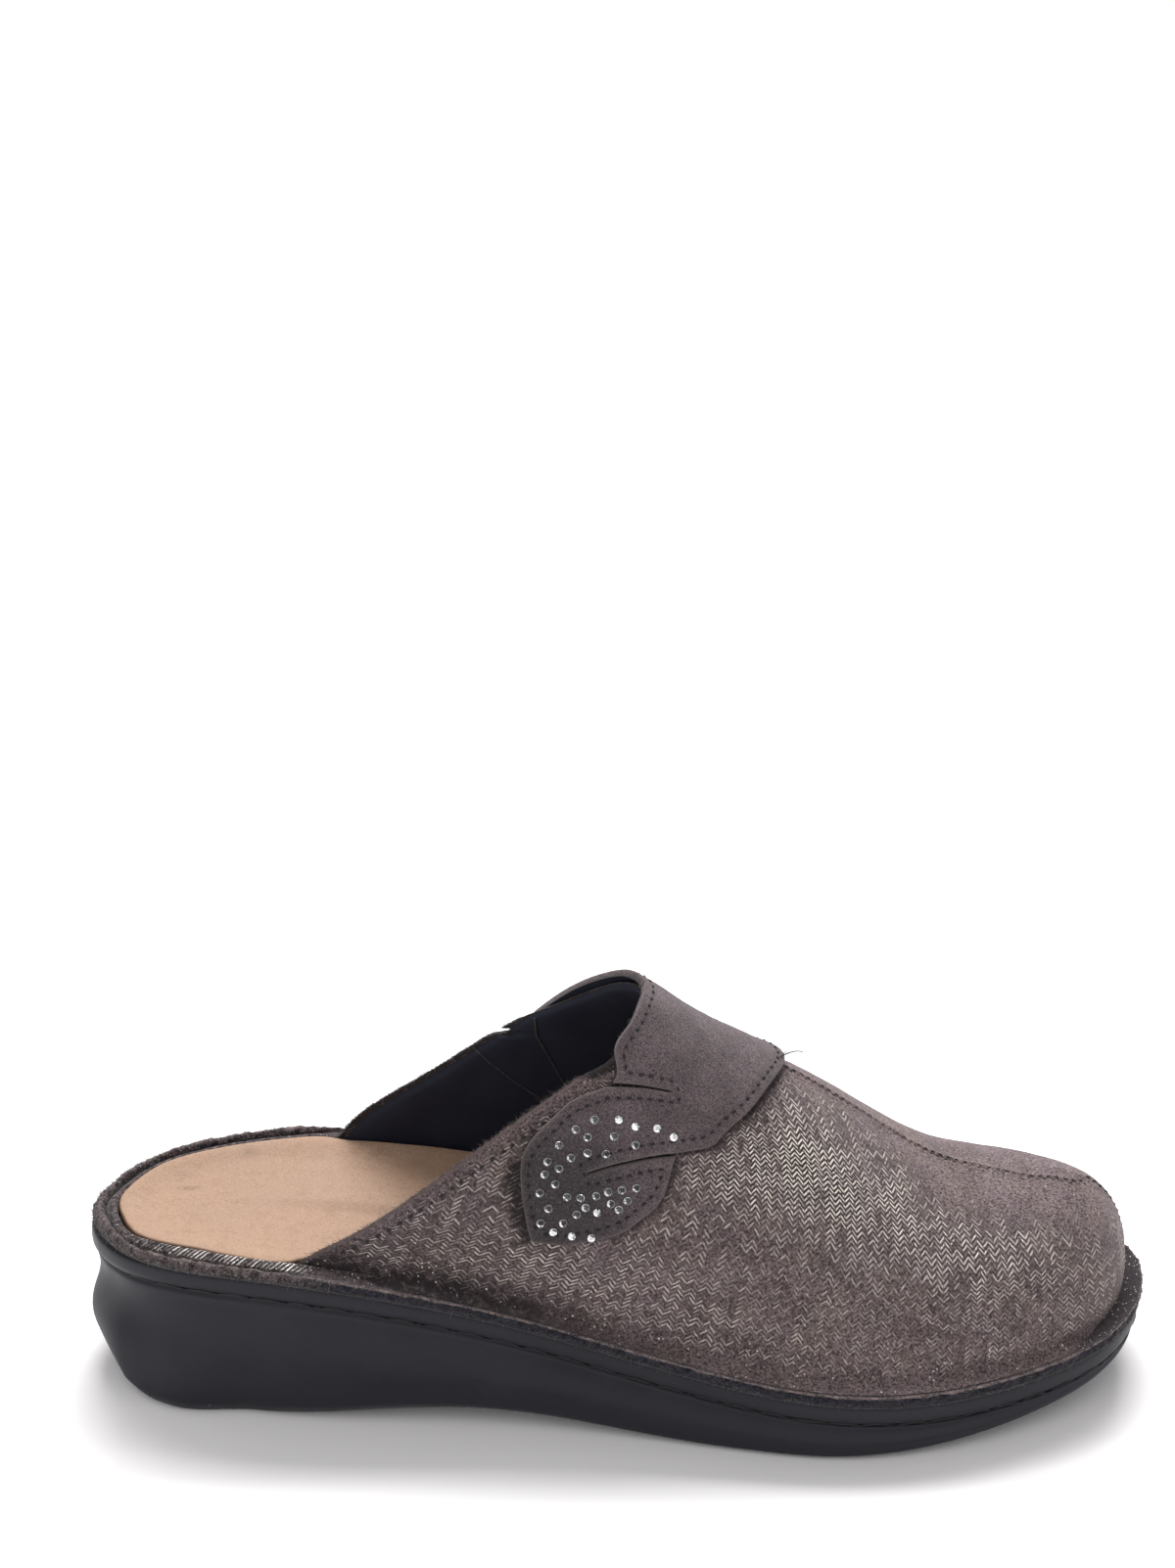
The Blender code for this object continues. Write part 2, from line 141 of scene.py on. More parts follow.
FOOTBED_CLEAR = 0.0004
FOOTBED_INSET = tuple(
    # from_heel, outer_inset, inner_inset: beside the bare rand first, then inside the upper
    (from_heel, outer + FOOTBED_CLEAR, inner + FOOTBED_CLEAR) for from_heel, outer, inner in RAND_WIDTH[:8]
) + (
    (0.0520, 0.0052, 0.0060),
    (0.0550, 0.0076, 0.0066),
    (0.0600, 0.0088, 0.0086),
    (0.0750, 0.0096, 0.0096),
    (0.2620, 0.0096, 0.0096),
)
FOOTBED_SPINE = (0.030, 0.226)
FOOTBED_LIP = 0.0006
FOOTBED_CENTRE = 0.0020
FOOTBED_EDGE = (
    # from_heel, outer_height, inner_height
    (0.0000, 0.0043, 0.0043),
    (0.0145, 0.0040, 0.0043),
    (0.0300, 0.0040, 0.0042),
    (0.0470, 0.0034, 0.0043),
    (0.0900, 0.0040, 0.0068),
    (0.1500, 0.0036, 0.0048),
    (0.2620, 0.0036, 0.0036),
)
FOOTBED_CUP = (
    # width_share, drop
    (0.00, 0.0025),
    (0.24, 0.0024),
    (0.52, 0.0020),
    (0.78, 0.0011),
    (0.96, 0.0000),
    (1.00, 0.0000),
)

CREST = (
    # from_heel, height, side, side_power, crown_power
    (0.040, 0.1040, 0.0020, 1.00, 2.00),
    (0.090, 0.1035, 0.0020, 1.00, 2.00),
    (0.133, 0.1020, 0.0022, 1.05, 2.00),
    (0.1435, 0.0945, 0.0027, 1.11, 2.00),
    (0.150, 0.0900, 0.0030, 1.15, 2.00),
    (0.172, 0.0782, 0.0040, 1.25, 2.00),
    (0.190, 0.0664, 0.0048, 1.35, 2.00),
    (0.209, 0.0543, 0.0052, 1.60, 2.05),
    (0.225, 0.0500, 0.0055, 2.10, 2.30),
    (0.240, 0.0482, 0.0058, 2.18, 2.60),
)
CREST_BLEND = 0.02
FAN_START = 0.196
TOE_STATION = LENGTH - RAND_WIDTH_VAMP - UPPER_SEAT
WALL_BULGE = 0.0010
BULGE_GROWS = (0.070, 0.130)

COLLAR = (
    # girth, outer_start, inner_start
    (0.00, 0.0535, 0.0560),
    (0.15, 0.0564, 0.0582),
    (0.30, 0.0715, 0.0655),
    (0.45, 0.0898, 0.0816),
    (0.60, 0.1124, 0.1018),
    (0.70, 0.1260, 0.1180),
    (0.80, 0.1323, 0.1274),
    (0.90, 0.1353, 0.1328),
    (1.00, 0.1362, 0.1362),
)

STRAP = (
    # girth_from_crest, rear_edge, front_edge
    (-0.665, 0.1106, 0.1180),
    (-0.645, 0.1098, 0.1238),
    (-0.620, 0.1092, 0.1294),
    (-0.580, 0.1084, 0.1347),
    (-0.540, 0.1080, 0.1389),
    (-0.490, 0.1088, 0.1416),
    (-0.435, 0.1137, 0.1432),
    (-0.415, 0.1161, 0.1446),
    (-0.385, 0.1198, 0.1502),
    (-0.344, 0.1276, 0.1542),
    (-0.265, 0.1294, 0.1602),
    (-0.200, 0.1320, 0.1638),
    (-0.100, 0.1349, 0.1680),
    (0.000, 0.1357, 0.1702),
    (0.100, 0.1325, 0.1680),
    (0.200, 0.1270, 0.1636),
    (0.300, 0.1176, 0.1580),
    (0.380, 0.1095, 0.1520),
)

# Slits in the strap: girth of the mouth, girth and place of the tip, half girth of the mouth
SLIT_TIP_GIRTH = 0.0018
LOWER_SLIT = (-0.416, -0.515, 0.1230, 0.0040)
UPPER_SLIT = (-0.341, -0.297, 0.1423, 0.0044)

# Sizes of the looks
SKIN_WALL = 0.0013
LINING_TOP = 0.00136
LINING_BACK = 0.0024
LINING_START = 0.0004
LINING_DROP = 0.0016
FLARE_REACH = 0.0038
FLARE_LIFT = 0.0019
FLARE_TOP = 4.5
FLARE_GROWS = (0.060, 0.084)
FLARE_FADES = (0.234, 0.252)
RAND_TUCK = 0.0013
RAND_TUCK_END = 0.026
WELT_BULGE = 0.0004
WELT_BULGE_END = 0.03
SEAM_PATH = (
    # station, girth of the centre seam on the outer side, then down the toe line
    (0.160, 0.986),
    (0.176, 0.988),
    (0.192, 0.984),
    (0.215, 0.984),
    (0.232, 0.970),
    (0.245, 0.950),
    (0.2525, 0.914),
    (TOE_STATION, 0.800),
)
SEAM_END_GIRTH = 0.14
SEAM_LINE_PITCH = 0.0006
GIRTH_LENGTH = 0.085
STRAP_STITCH_INSET = 0.0018
STONE_RADIUS = 0.00095
STRAP_ROUNDING = 0.0004
STRAP_GROOVE = 0.00014
RAND_CHANGES = (0.048, 0.066)
SCUFF_HEIGHT = 0.0405

# Thread print, in millimetres: its zigzag, the lean of its columns, the fall of its rows, and how far
# the rows spread above a height
HERRINGBONE_LEG = 1.42
HERRINGBONE_SLOPE = 1.10
HERRINGBONE_PITCH = 1.26
STRIP_PITCH = 1.32
STRIP_LEG = 600.0
LEAN_REAR = 0.27
LEAN_DROP = 0.0027
LEAN_DROP_START = 130.0
LEAN_BEND = 0.0000213
ROW_FALL = 0.00235
ROW_FALL_START = 155.0
TOP_SPREAD = 0.26
TOE_SPREAD = 0.14
SPREAD_START = 26.0
TOE_SPREAD_GROWS = (180.0, 212.0)
PRINT_RUN = (
    # from the heel back, along the print (longer zigzags at the rear)
    (0.0, 0.0),
    (120.0, 90.0),
    (160.0, 125.0),
    (262.0, 227.0),
)

# Pixels of the photograph, read one by one
STONE_PIXELS = (
    (607, 1144), (632, 1144), (649, 1151), (671, 1153), (688, 1162), (588, 1154),
    (600, 1162), (627, 1161), (649, 1170), (571, 1170), (600, 1178), (619, 1179),
    (583, 1183), (559, 1187), (571, 1194), (556, 1200), (567, 1210), (551, 1219),
    (650, 1214), (635, 1216), (621, 1218), (609, 1222), (593, 1224), (579, 1223),
    (641, 1227), (624, 1230), (632, 1236), (598, 1234), (610, 1239), (589, 1241),
    (560, 1235), (552, 1250), (575, 1250), (565, 1259), (584, 1263), (604, 1265),
)
# Stones whose facets mostly get painted glints
BRIGHT_STONES = (1, 2, 3, 4, 28, 33, 34, 35)
GUSSET_SEAM_PIXELS = (
    ((483, 1070), (490, 1076), (501, 1086), (527, 1106), (556, 1125)),
    ((546, 1040), (548, 1058), (558, 1075), (577, 1108)),
)
STRAP_THREADS = (
    # pixel of the root, reach, radius
    ((797, 1079), (0.0052, -0.0004, 0.0009), 0.00022),
    ((795, 1082), (0.0022, 0.0006, 0.0014), 0.00014),
)
WELT_THREAD_PIXELS = ((158, 1296), (392, 1347), (690, 1412), (905, 1459))
SCUFF_PIXELS = (
    # across, down, half length and half width in millimetres, strength
    (192, 1218, 4.2, 1.6, 0.55),
    (191, 1206, 4.6, 2.2, 0.22),
    (255, 1187, 2.6, 3.4, 0.40),
    (365, 1172, 3.0, 2.6, 0.20),
    (240, 1238, 3.0, 2.4, 0.12),
)


def column(table, index):
    return np.array([row[index] for row in table])


def natural_spline(knots, values, at):
    """Smooth curve through the knots, straight at both ends."""
    steps = np.diff(knots)
    matrix = np.eye(len(knots))
    right = np.zeros(len(knots))
    for i in range(1, len(knots) - 1):
        matrix[i, i - 1:i + 2] = steps[i - 1], 2 * (steps[i - 1] + steps[i]), steps[i]
        slopes = np.diff(values[i - 1:i + 2]) / steps[i - 1:i + 1]
        right[i] = 6 * (slopes[1] - slopes[0])
    bend = np.linalg.solve(matrix, right)
    at = np.clip(at, knots[0], knots[-1])
    i = np.clip(np.searchsorted(knots, at, side="right") - 1, 0, len(knots) - 2)
    near = (knots[i + 1] - at) / steps[i]
    far = 1 - near
    lift = (near ** 3 - near) * bend[i] + (far ** 3 - far) * bend[i + 1]
    return near * values[i] + far * values[i + 1] + lift * steps[i] ** 2 / 6


def from_table(table, index, at):
    return natural_spline(column(table, 0), column(table, index), np.asarray(at, float))


def smooth_step(at, start, end):
    t = np.clip((np.asarray(at, float) - start) / (end - start), 0, 1)
    return t * t * (3 - 2 * t)


def fade(at, start, end):
    """Share that falls from one at the start to nothing at the end."""
    return 1 - smooth_step(at, start, end)


def window(at, grow_start, grow_end, fade_start, fade_end):
    """Share that grows between the first two values and fades between the last two."""
    return smooth_step(at, grow_start, grow_end) * fade(at, fade_start, fade_end)


def hump(at, centre, width):
    return np.exp(-((np.asarray(at, float) - centre) / width) ** 2)


def unit(vectors, least=0.0):
    """The vectors at a length of one."""
    return vectors / np.maximum(np.linalg.norm(vectors, axis=-1, keepdims=True), least)


def run_along(line):
    """Distance along a line at each of its points."""
    return np.concatenate([[0], np.cumsum(np.linalg.norm(np.diff(line, axis=0), axis=1))])


def at_run(at, run, values):
    """Rows of values, read at places along a line."""
    return np.column_stack([np.interp(at, run, part) for part in values.T])


def wander(at, scale, seed):
    """Smooth uneven wave between about -1 and 1, the same on each run."""
    draw = np.random.default_rng(seed)
    total = np.zeros_like(np.asarray(at, float))
    for octave in range(4):
        phase = draw.uniform(0, 2 * np.pi)
        stretch = draw.uniform(0.8, 1.3) * 1.9 ** octave
        total += np.sin(2 * np.pi * at / scale * stretch + phase) / 1.5 ** octave
    return total / 2.0


def outline_side(index):
    """One side of the rim from heel to toe, with its outward normals."""
    turn = np.linspace(0, np.pi, OUTLINE_SAMPLES)
    knots = np.concatenate([[0], column(OUTLINE, 0), [LENGTH]])
    sides = np.concatenate([[0], column(OUTLINE, index), [TOE_TIP_Y]])
    angles = np.arccos(1 - 2 * knots / LENGTH)
    points = np.stack([LENGTH / 2 * (1 - np.cos(turn)), natural_spline(angles, sides, turn)], -1)
    along = np.gradient(points, axis=0)
    along[0] = 0, sides[1]
    along[-1] = 0, TOE_TIP_Y - sides[-2]
    along = unit(along)
    outward = np.stack([-along[:, 1], along[:, 0]], -1) * np.sign(sides[1])
    return points, outward


SIDES = {side: outline_side(index) for side, index in BOTH_SIDES}


def edge(side, from_heel, inset):
    """Point of the outline on one side, moved inwards by the inset."""
    points, outward = SIDES[side]
    turn = np.arccos(1 - 2 * np.clip(from_heel, 0, LENGTH) / LENGTH) / np.pi * (len(points) - 1)
    i = np.clip(turn.astype(int), 0, len(points) - 2)
    f = (turn - i)[..., None]
    place = points[i] * (1 - f) + points[i + 1] * f
    normal = outward[i] * (1 - f) + outward[i + 1] * f
    return place - normal * np.broadcast_to(inset, turn.shape)[..., None]


def station_places(count):
    return LENGTH / 2 * (1 - np.cos(np.linspace(0, np.pi, count + 1)))


def around(places):
    """Places of a closed ring: outer side heel to toe, then inner side back to the heel."""
    return np.concatenate([places, places[-2:0:-1]])


def ring(places, inset, height):
    outer = edge(-1, places, inset(places, 1))
    inner = edge(1, places, inset(places, 2))[-2:0:-1]
    flat = np.concatenate([outer, inner])
    return np.column_stack([flat, height(flat)])


def welt_top(from_heel):
    return from_table(WELT_TOP, 1, from_heel)


def tread_height(from_heel):
    """Underside: flat under heel and forefoot, arched between them, lifted at both ends."""
    x = np.asarray(from_heel, float)
    across_arch = np.clip((x - ARCH_START) / (ARCH_END - ARCH_START), 0, 1)
    arch = ARCH_RISE * np.sin(np.pi * across_arch) ** 2
    spring = TOE_SPRING * np.clip((x - SPRING_START) / (LENGTH - SPRING_START), 0, 1) ** SPRING_POWER
    heel = HEEL_LIFT * np.clip(1 - x / HEEL_LIFT_END, 0, 1) ** 2
    return arch + spring + heel


def straight(table, index, at):
    """Value between the rows of a table, straight from row to row."""
    return np.interp(at, column(table, 0), column(table, index))


def upper_form(side, station, girth):
    """Outer face of the upper: girth runs from the foot of the wall (0) to the crest (1)."""
    station, girth = np.broadcast_arrays(np.asarray(station, float), np.asarray(girth, float))
    seat = RAND_WIDTH_VAMP + UPPER_SEAT
    fan = np.clip((station - FAN_START) / (TOE_STATION - FAN_START), 0, 1)
    base = edge(side, station + (LENGTH - TOE_STATION) * fan ** 2, seat)
    crest_x = station - (TOE_STATION - column(CREST, 0)[-1]) * fan ** 2
    crest = np.stack([crest_x, from_table(CREST, 2, crest_x)], -1)
    top = from_table(CREST, 1, crest_x)
    foot = welt_top(base[..., 0]) + UPPER_FOOT
    turn = girth * np.pi / 2
    rise = np.sin(turn) ** (2 / np.interp(crest_x, column(CREST, 0), column(CREST, 3)))
    reach = np.cos(turn) ** (2 / np.interp(crest_x, column(CREST, 0), column(CREST, 4)))
    out = base - crest
    away = unit(out)
    bulge = WALL_BULGE * 4 * rise * (1 - rise) * smooth_step(station, *BULGE_GROWS)
    flat = crest + out * reach[..., None] + away * bulge[..., None]
    return np.concatenate([flat, (foot + (top - foot) * rise)[..., None]], -1)


def upper_point(side, station, girth, lift=0.0):
    """Point on the upper, moved off its face by the lift."""
    step = 0.0005
    girth_step = 0.01
    girth_end = 1 - girth_step / 10
    ahead = upper_form(side, np.minimum(station + step, TOE_STATION), girth)
    along = ahead - upper_form(side, station - step, girth)
    low = np.clip(girth - girth_step, 0, girth_end)
    high = np.clip(girth + girth_step, 0, girth_end)
    upward = upper_form(side, station, high) - upper_form(side, station, low)
    normal = unit(np.cross(along, upward) * -side)
    return upper_form(side, station, girth) + normal * np.asarray(lift)[..., None]


def over_crest(station, girth_from_crest, lift):
    """Point on the upper by its signed girth: outer side negative, inner side positive."""
    girth = 1 - np.abs(girth_from_crest)
    outer = upper_point(-1, station, girth, lift)
    inner = upper_point(1, station, girth, lift)
    share = smooth_step(girth_from_crest, -CREST_BLEND, CREST_BLEND)[..., None]
    return outer * (1 - share) + inner * share


# Mesh helpers

# Ranges of the random shares that make each dash different
STITCH_LENGTHS = (0.85, 1.12)
STITCH_SHIFTS = (-0.06, 0.06)
STITCH_ARCHES = (0.5, 1.3)
STITCH_SIZES = (0.9, 1.1)
STITCH_FORM = (
    # share of the half length, height and size in thread radii
    (0.0, 0.45, 1.00),
    (0.5, 0.10, 0.95),
    (1.0, -1.30, 0.55),
)
HAIR_FORM = (
    # share of the length, share of the radius
    (0.00, 1.00),
    (0.55, 0.70),
    (1.00, 0.12),
)
HAIR_TURN = np.array([0.0, 2.1, 4.2])
HAIR_BEND = 0.35


def numbered(rows, columns, first=0):
    """Grid of point numbers, row by row."""
    return first + np.arange(rows * columns).reshape(rows, columns)


def grid_faces(index, wrap_rows=False, wrap_columns=False):
    """Faces between neighbouring places of an index grid, without repeated corners."""
    if wrap_rows:
        index = np.vstack([index, index[:1]])
    if wrap_columns:
        index = np.hstack([index, index[:, :1]])
    quads = np.stack([index[:-1, :-1], index[1:, :-1], index[1:, 1:], index[:-1, 1:]], -1)
    faces = []
    for quad in quads.reshape(-1, 4).tolist():
        corners = list(dict.fromkeys(quad))
        if len(corners) > 2:
            faces.append(corners)
    return faces


def cap(start, count):
    """Strips across a ring, each from the outer side to the inner side."""
    half = count // 2
    faces = [(start, start + 1, start + count - 1), (start + half - 1, start + half, start + half + 1)]
    for i in range(1, half - 1):
        faces.append((start + i, start + i + 1, start + count - i - 1, start + count - i))
    return faces


def ring_faces(rings, closed_ends):
    """Point numbers and faces of stacked rings, closed at the named ends (0 first, -1 last)."""
    index = numbered(*rings.shape[:2])
    faces = grid_faces(index, wrap_columns=True)
    for end in closed_ends:
        faces += cap(index[end, 0], rings.shape[1])
    return index, faces


def add_piece(name, points, faces, materials, attributes=None, sharp=50, replaces=None,
              face_materials=None):
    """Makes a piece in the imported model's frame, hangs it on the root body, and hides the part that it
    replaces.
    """
    mesh = bpy.data.meshes.new(name)
    mesh.from_pydata((np.asarray(points) + FRAME_SHIFT).tolist(), [], faces)
    for key, values in (attributes or {}).items():
        layer = mesh.attributes.new(key, "FLOAT_VECTOR", "POINT")
        layer.data.foreach_set("vector", np.asarray(values, np.float32).ravel())
    for material in materials:
        mesh.materials.append(material)
    if face_materials is not None:
        mesh.polygons.foreach_set("material_index", face_materials)
    shape = bmesh.new()
    shape.from_mesh(mesh)
    bmesh.ops.recalc_face_normals(shape, faces=shape.faces)
    shape.to_mesh(mesh)
    shape.free()
    mesh.shade_smooth()
    mesh.set_sharp_from_angle(angle=np.radians(sharp))
    piece = bpy.data.objects.new(name, mesh)
    bpy.context.scene.collection.objects.link(piece)
    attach(piece, "root")
    if replaces:
        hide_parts(replaces)
    return piece


def directions(line):
    """Unit directions along a line of points."""
    return unit(np.gradient(line, axis=0))


def spokes(across, over, turn):
    """Directions at each angle of a turn about a place, a row for each place."""
    return across[:, None] * np.cos(turn)[None, :, None] + over[:, None] * np.sin(turn)[None, :, None]


def tube(points, radii):
    """Points and faces of a closed round bar along a line."""
    any_way = np.array([0.13, 0.27, 0.95])
    along = directions(points)
    across = unit(np.cross(along, any_way))
    over = np.cross(along, across)
    turn = np.linspace(0, 2 * np.pi, TUBE_SIDES, endpoint=False)
    body = points[:, None] + spokes(across, over, turn) * np.asarray(radii)[:, None, None]
    index = numbered(len(points), TUBE_SIDES)
    faces = grid_faces(index, wrap_columns=True)
    faces.append(index[0].tolist())
    faces.append(index[-1].tolist())
    return body.reshape(-1, 3), faces


def joined(parts):
    """One list of points and one of faces from many small shapes."""
    points = []
    faces = []
    count = 0
    for part_points, part_faces in parts:
        points.append(part_points)
        faces += [[corner + count for corner in face] for face in part_faces]
        count += len(part_points)
    return np.concatenate(points), faces


def add_threads(name, parts, material):
    """One piece from many small bars."""
    points, faces = joined(parts)
    add_piece(name, points, faces, [material])


def stitch_row(line, normals, pitch, length, radius, seed, start=0.0, arch=0.0):
    """Thread dashes along a line, each dipping into the surface at both ends and arched upwards."""
    draw = np.random.default_rng(seed)
    run = run_along(line)
    parts = []
    for centre in np.arange(start + pitch / 2, run[-1] - pitch / 3, pitch):
        half = length / 2 * draw.uniform(*STITCH_LENGTHS)
        middle = centre + draw.uniform(*STITCH_SHIFTS) * pitch
        share = np.linspace(-1, 1, 9 if arch else 5)
        at = middle + half * share
        points = at_run(at, run, line)
        points[:, 2] += arch * draw.uniform(*STITCH_ARCHES) * (0.5 - share ** 2)
        up = unit(at_run(at, run, normals))
        bow = straight(STITCH_FORM, 1, np.abs(share))
        size = straight(STITCH_FORM, 2, np.abs(share)) * radius * draw.uniform(*STITCH_SIZES)
        parts.append(tube(points + up * (bow * radius)[:, None], size))
    return parts


def fibre_field(roots, ways, lengths, radius, seed):
    """Fine tapering three-sided hairs, each bent a little to one side."""
    draw = np.random.default_rng(seed)
    count = len(roots)
    bend = draw.normal(0, HAIR_BEND, (count, 3)) * lengths[:, None]
    helper = np.where(np.abs(ways[:, 2:]) > 0.8, [[1.0, 0, 0]], [[0, 0, 1.0]])
    across = unit(np.cross(ways, helper))
    over = np.cross(ways, across)
    rings = []
    for level, size in HAIR_FORM:
        centre = roots + ways * (lengths * level)[:, None] + bend * level ** 2
        rings.append(centre[:, None] + spokes(across, over, HAIR_TURN) * radius * size)
    points = np.stack(rings, 1).reshape(-1, 3)
    walls = np.array([[0, 1, 4, 3], [1, 2, 5, 4], [2, 0, 3, 5], [3, 4, 7, 6], [4, 5, 8, 7], [5, 3, 6, 8]])
    ends = np.array([[2, 1, 0], [6, 7, 8]])
    first = len(HAIR_FORM) * len(HAIR_TURN) * np.arange(count)[:, None, None]
    return points, (walls + first).reshape(-1, 4).tolist() + (ends + first).reshape(-1, 3).tolist()


# Material helpers


class Surface:
    """One procedural material, with short calls for the nodes that it is made of."""

    def __init__(self, name, colour, roughness, **sockets):
        self.material = bpy.data.materials.new(name)
        self.material.use_nodes = True
        self.tree = self.material.node_tree
        self.shader = self.tree.nodes["Principled BSDF"]
        self.put("Base Color", (*colour, 1))
        self.put("Roughness", roughness)
        for key, value in sockets.items():
            self.put(key.replace("_", " "), value)

    def put(self, socket, value):
        self.fill(self.shader.inputs[socket], value)

    def fill(self, socket, value):
        if isinstance(value, bpy.types.NodeSocket):
            self.tree.links.new(value, socket)
        else:
            socket.default_value = value

    def node(self, kind, inputs, **settings):
        made = self.tree.nodes.new(kind)
        for key, value in settings.items():
            setattr(made, key, value)
        for key, value in inputs.items():
            self.fill(made.inputs[key], value)
        return made

    def split(self, vector):
        return tuple(self.node("ShaderNodeSeparateXYZ", {"Vector": vector}).outputs)

    def attribute(self, name):
        return self.split(self.node("ShaderNodeAttribute", {}, attribute_name=name).outputs["Vector"])

    def place(self):
        return self.node("ShaderNodeTexCoord", {}).outputs["Object"]

    def vector(self, x, y, z=0.0):
        return self.node("ShaderNodeCombineXYZ", {"X": x, "Y": y, "Z": z}).outputs[0]

    def math(self, operation, first, second=0.0, third=0.0):
        return self.node("ShaderNodeMath", {0: first, 1: second, 2: third}, operation=operation).outputs[0]

    def times(self, first, second):
        return self.math("MULTIPLY", first, second)

    def ramp(self, value, low, high, to_low=0.0, to_high=1.0):
        inputs = {"Value": value, "From Min": low, "From Max": high, "To Min": to_low, "To Max": to_high}
        return self.node("ShaderNodeMapRange", inputs, interpolation_type="SMOOTHSTEP").outputs[0]

    def noise(self, size, detail=2.0, rough=0.5, vector=None):
        """Noise with patches of about the given size, in millimetres."""
        scale = 1.0 / size
        if vector is None:
            vector = self.place()
            scale = 1000.0 / size
        inputs = {"Vector": vector, "Scale": scale, "Detail": detail, "Roughness": rough}
        return self.node("ShaderNodeTexNoise", inputs).outputs[0]

    def specks(self, size, share, radius):
        """Small round dots in some of the cells of the given size, in millimetres."""
        cells = self.node("ShaderNodeTexVoronoi", {"Vector": self.place(), "Scale": 1000.0 / size})
        chosen = self.split(cells.outputs["Color"])[0]
        kept = self.math("GREATER_THAN", chosen, 1.0 - share)
        dot = self.ramp(cells.outputs["Distance"], radius, radius * 0.4)
        return self.times(kept, dot)

    def spot(self, place, long, wide, strength):
        """Soft round patch about a place, with its half length and half width in millimetres."""
        spread = (1000.0 / long, 1000.0 / wide, 0.0)
        start = tuple(float(-a * b) for a, b in zip(place, spread))
        moved = self.node("ShaderNodeMapping", {"Vector": self.place(), "Location": start, "Scale": spread})
        far = self.node("ShaderNodeVectorMath", {0: moved.outputs[0]}, operation="LENGTH").outputs["Value"]
        rough = self.ramp(self.noise(1.6, 3.0, 0.6), 0.3, 0.62)
        return self.times(self.ramp(far, 0.15, 1.0, strength, 0.0), rough)

    def mix(self, factor, first, second):
        made = self.tree.nodes.new("ShaderNodeMix")
        made.data_type = "RGBA"
        self.fill(made.inputs[0], factor)
        for place, value in ((6, first), (7, second)):
            self.fill(made.inputs[place], value if isinstance(value, bpy.types.NodeSocket) else (*value, 1))
        return made.outputs[2]

    def bump(self, height, distance, strength=1.0, below=None):
        inputs = {"Height": height, "Distance": distance * MM, "Strength": strength}
        if below is not None:
            inputs["Normal"] = below
        return self.node("ShaderNodeBump", inputs).outputs[0]


def zigzag(surface, run, rise, amount, leg=HERRINGBONE_LEG, pitch=HERRINGBONE_PITCH):
    """Share of a zigzag thread print at each place: the less of it, the fewer dashes are left."""
    place = surface.vector(run, rise)
    sway = surface.times(surface.noise(2.4, 1.0, 0.5, place), 0.45)
    run = surface.math("ADD", run, sway)
    slanted = surface.math("MULTIPLY_ADD", surface.math("PINGPONG", run, leg), HERRINGBONE_SLOPE, rise)
    phase = surface.math("DIVIDE", slanted, pitch)
    line = surface.ramp(surface.math("PINGPONG", phase, 0.5), 0.26, 0.36)
    fold = surface.ramp(surface.math("PINGPONG", run, leg / 2), 0.0, 0.20, 0.35, 1.0)
    leg_number = surface.math("FLOOR", surface.math("DIVIDE", run, leg))
    cell = surface.vector(leg_number, surface.math("FLOOR", phase))
    chance = surface.node("ShaderNodeTexWhiteNoise", {"Vector": cell}, noise_dimensions="2D").outputs[0]
    worn = surface.ramp(surface.noise(0.9, 1.0, 0.6, place), 0.28, 0.50)
    share = surface.times(surface.ramp(surface.math("ADD", chance, amount), 0.45, 1.60), worn)
    return surface.times(line, surface.times(share, fold))


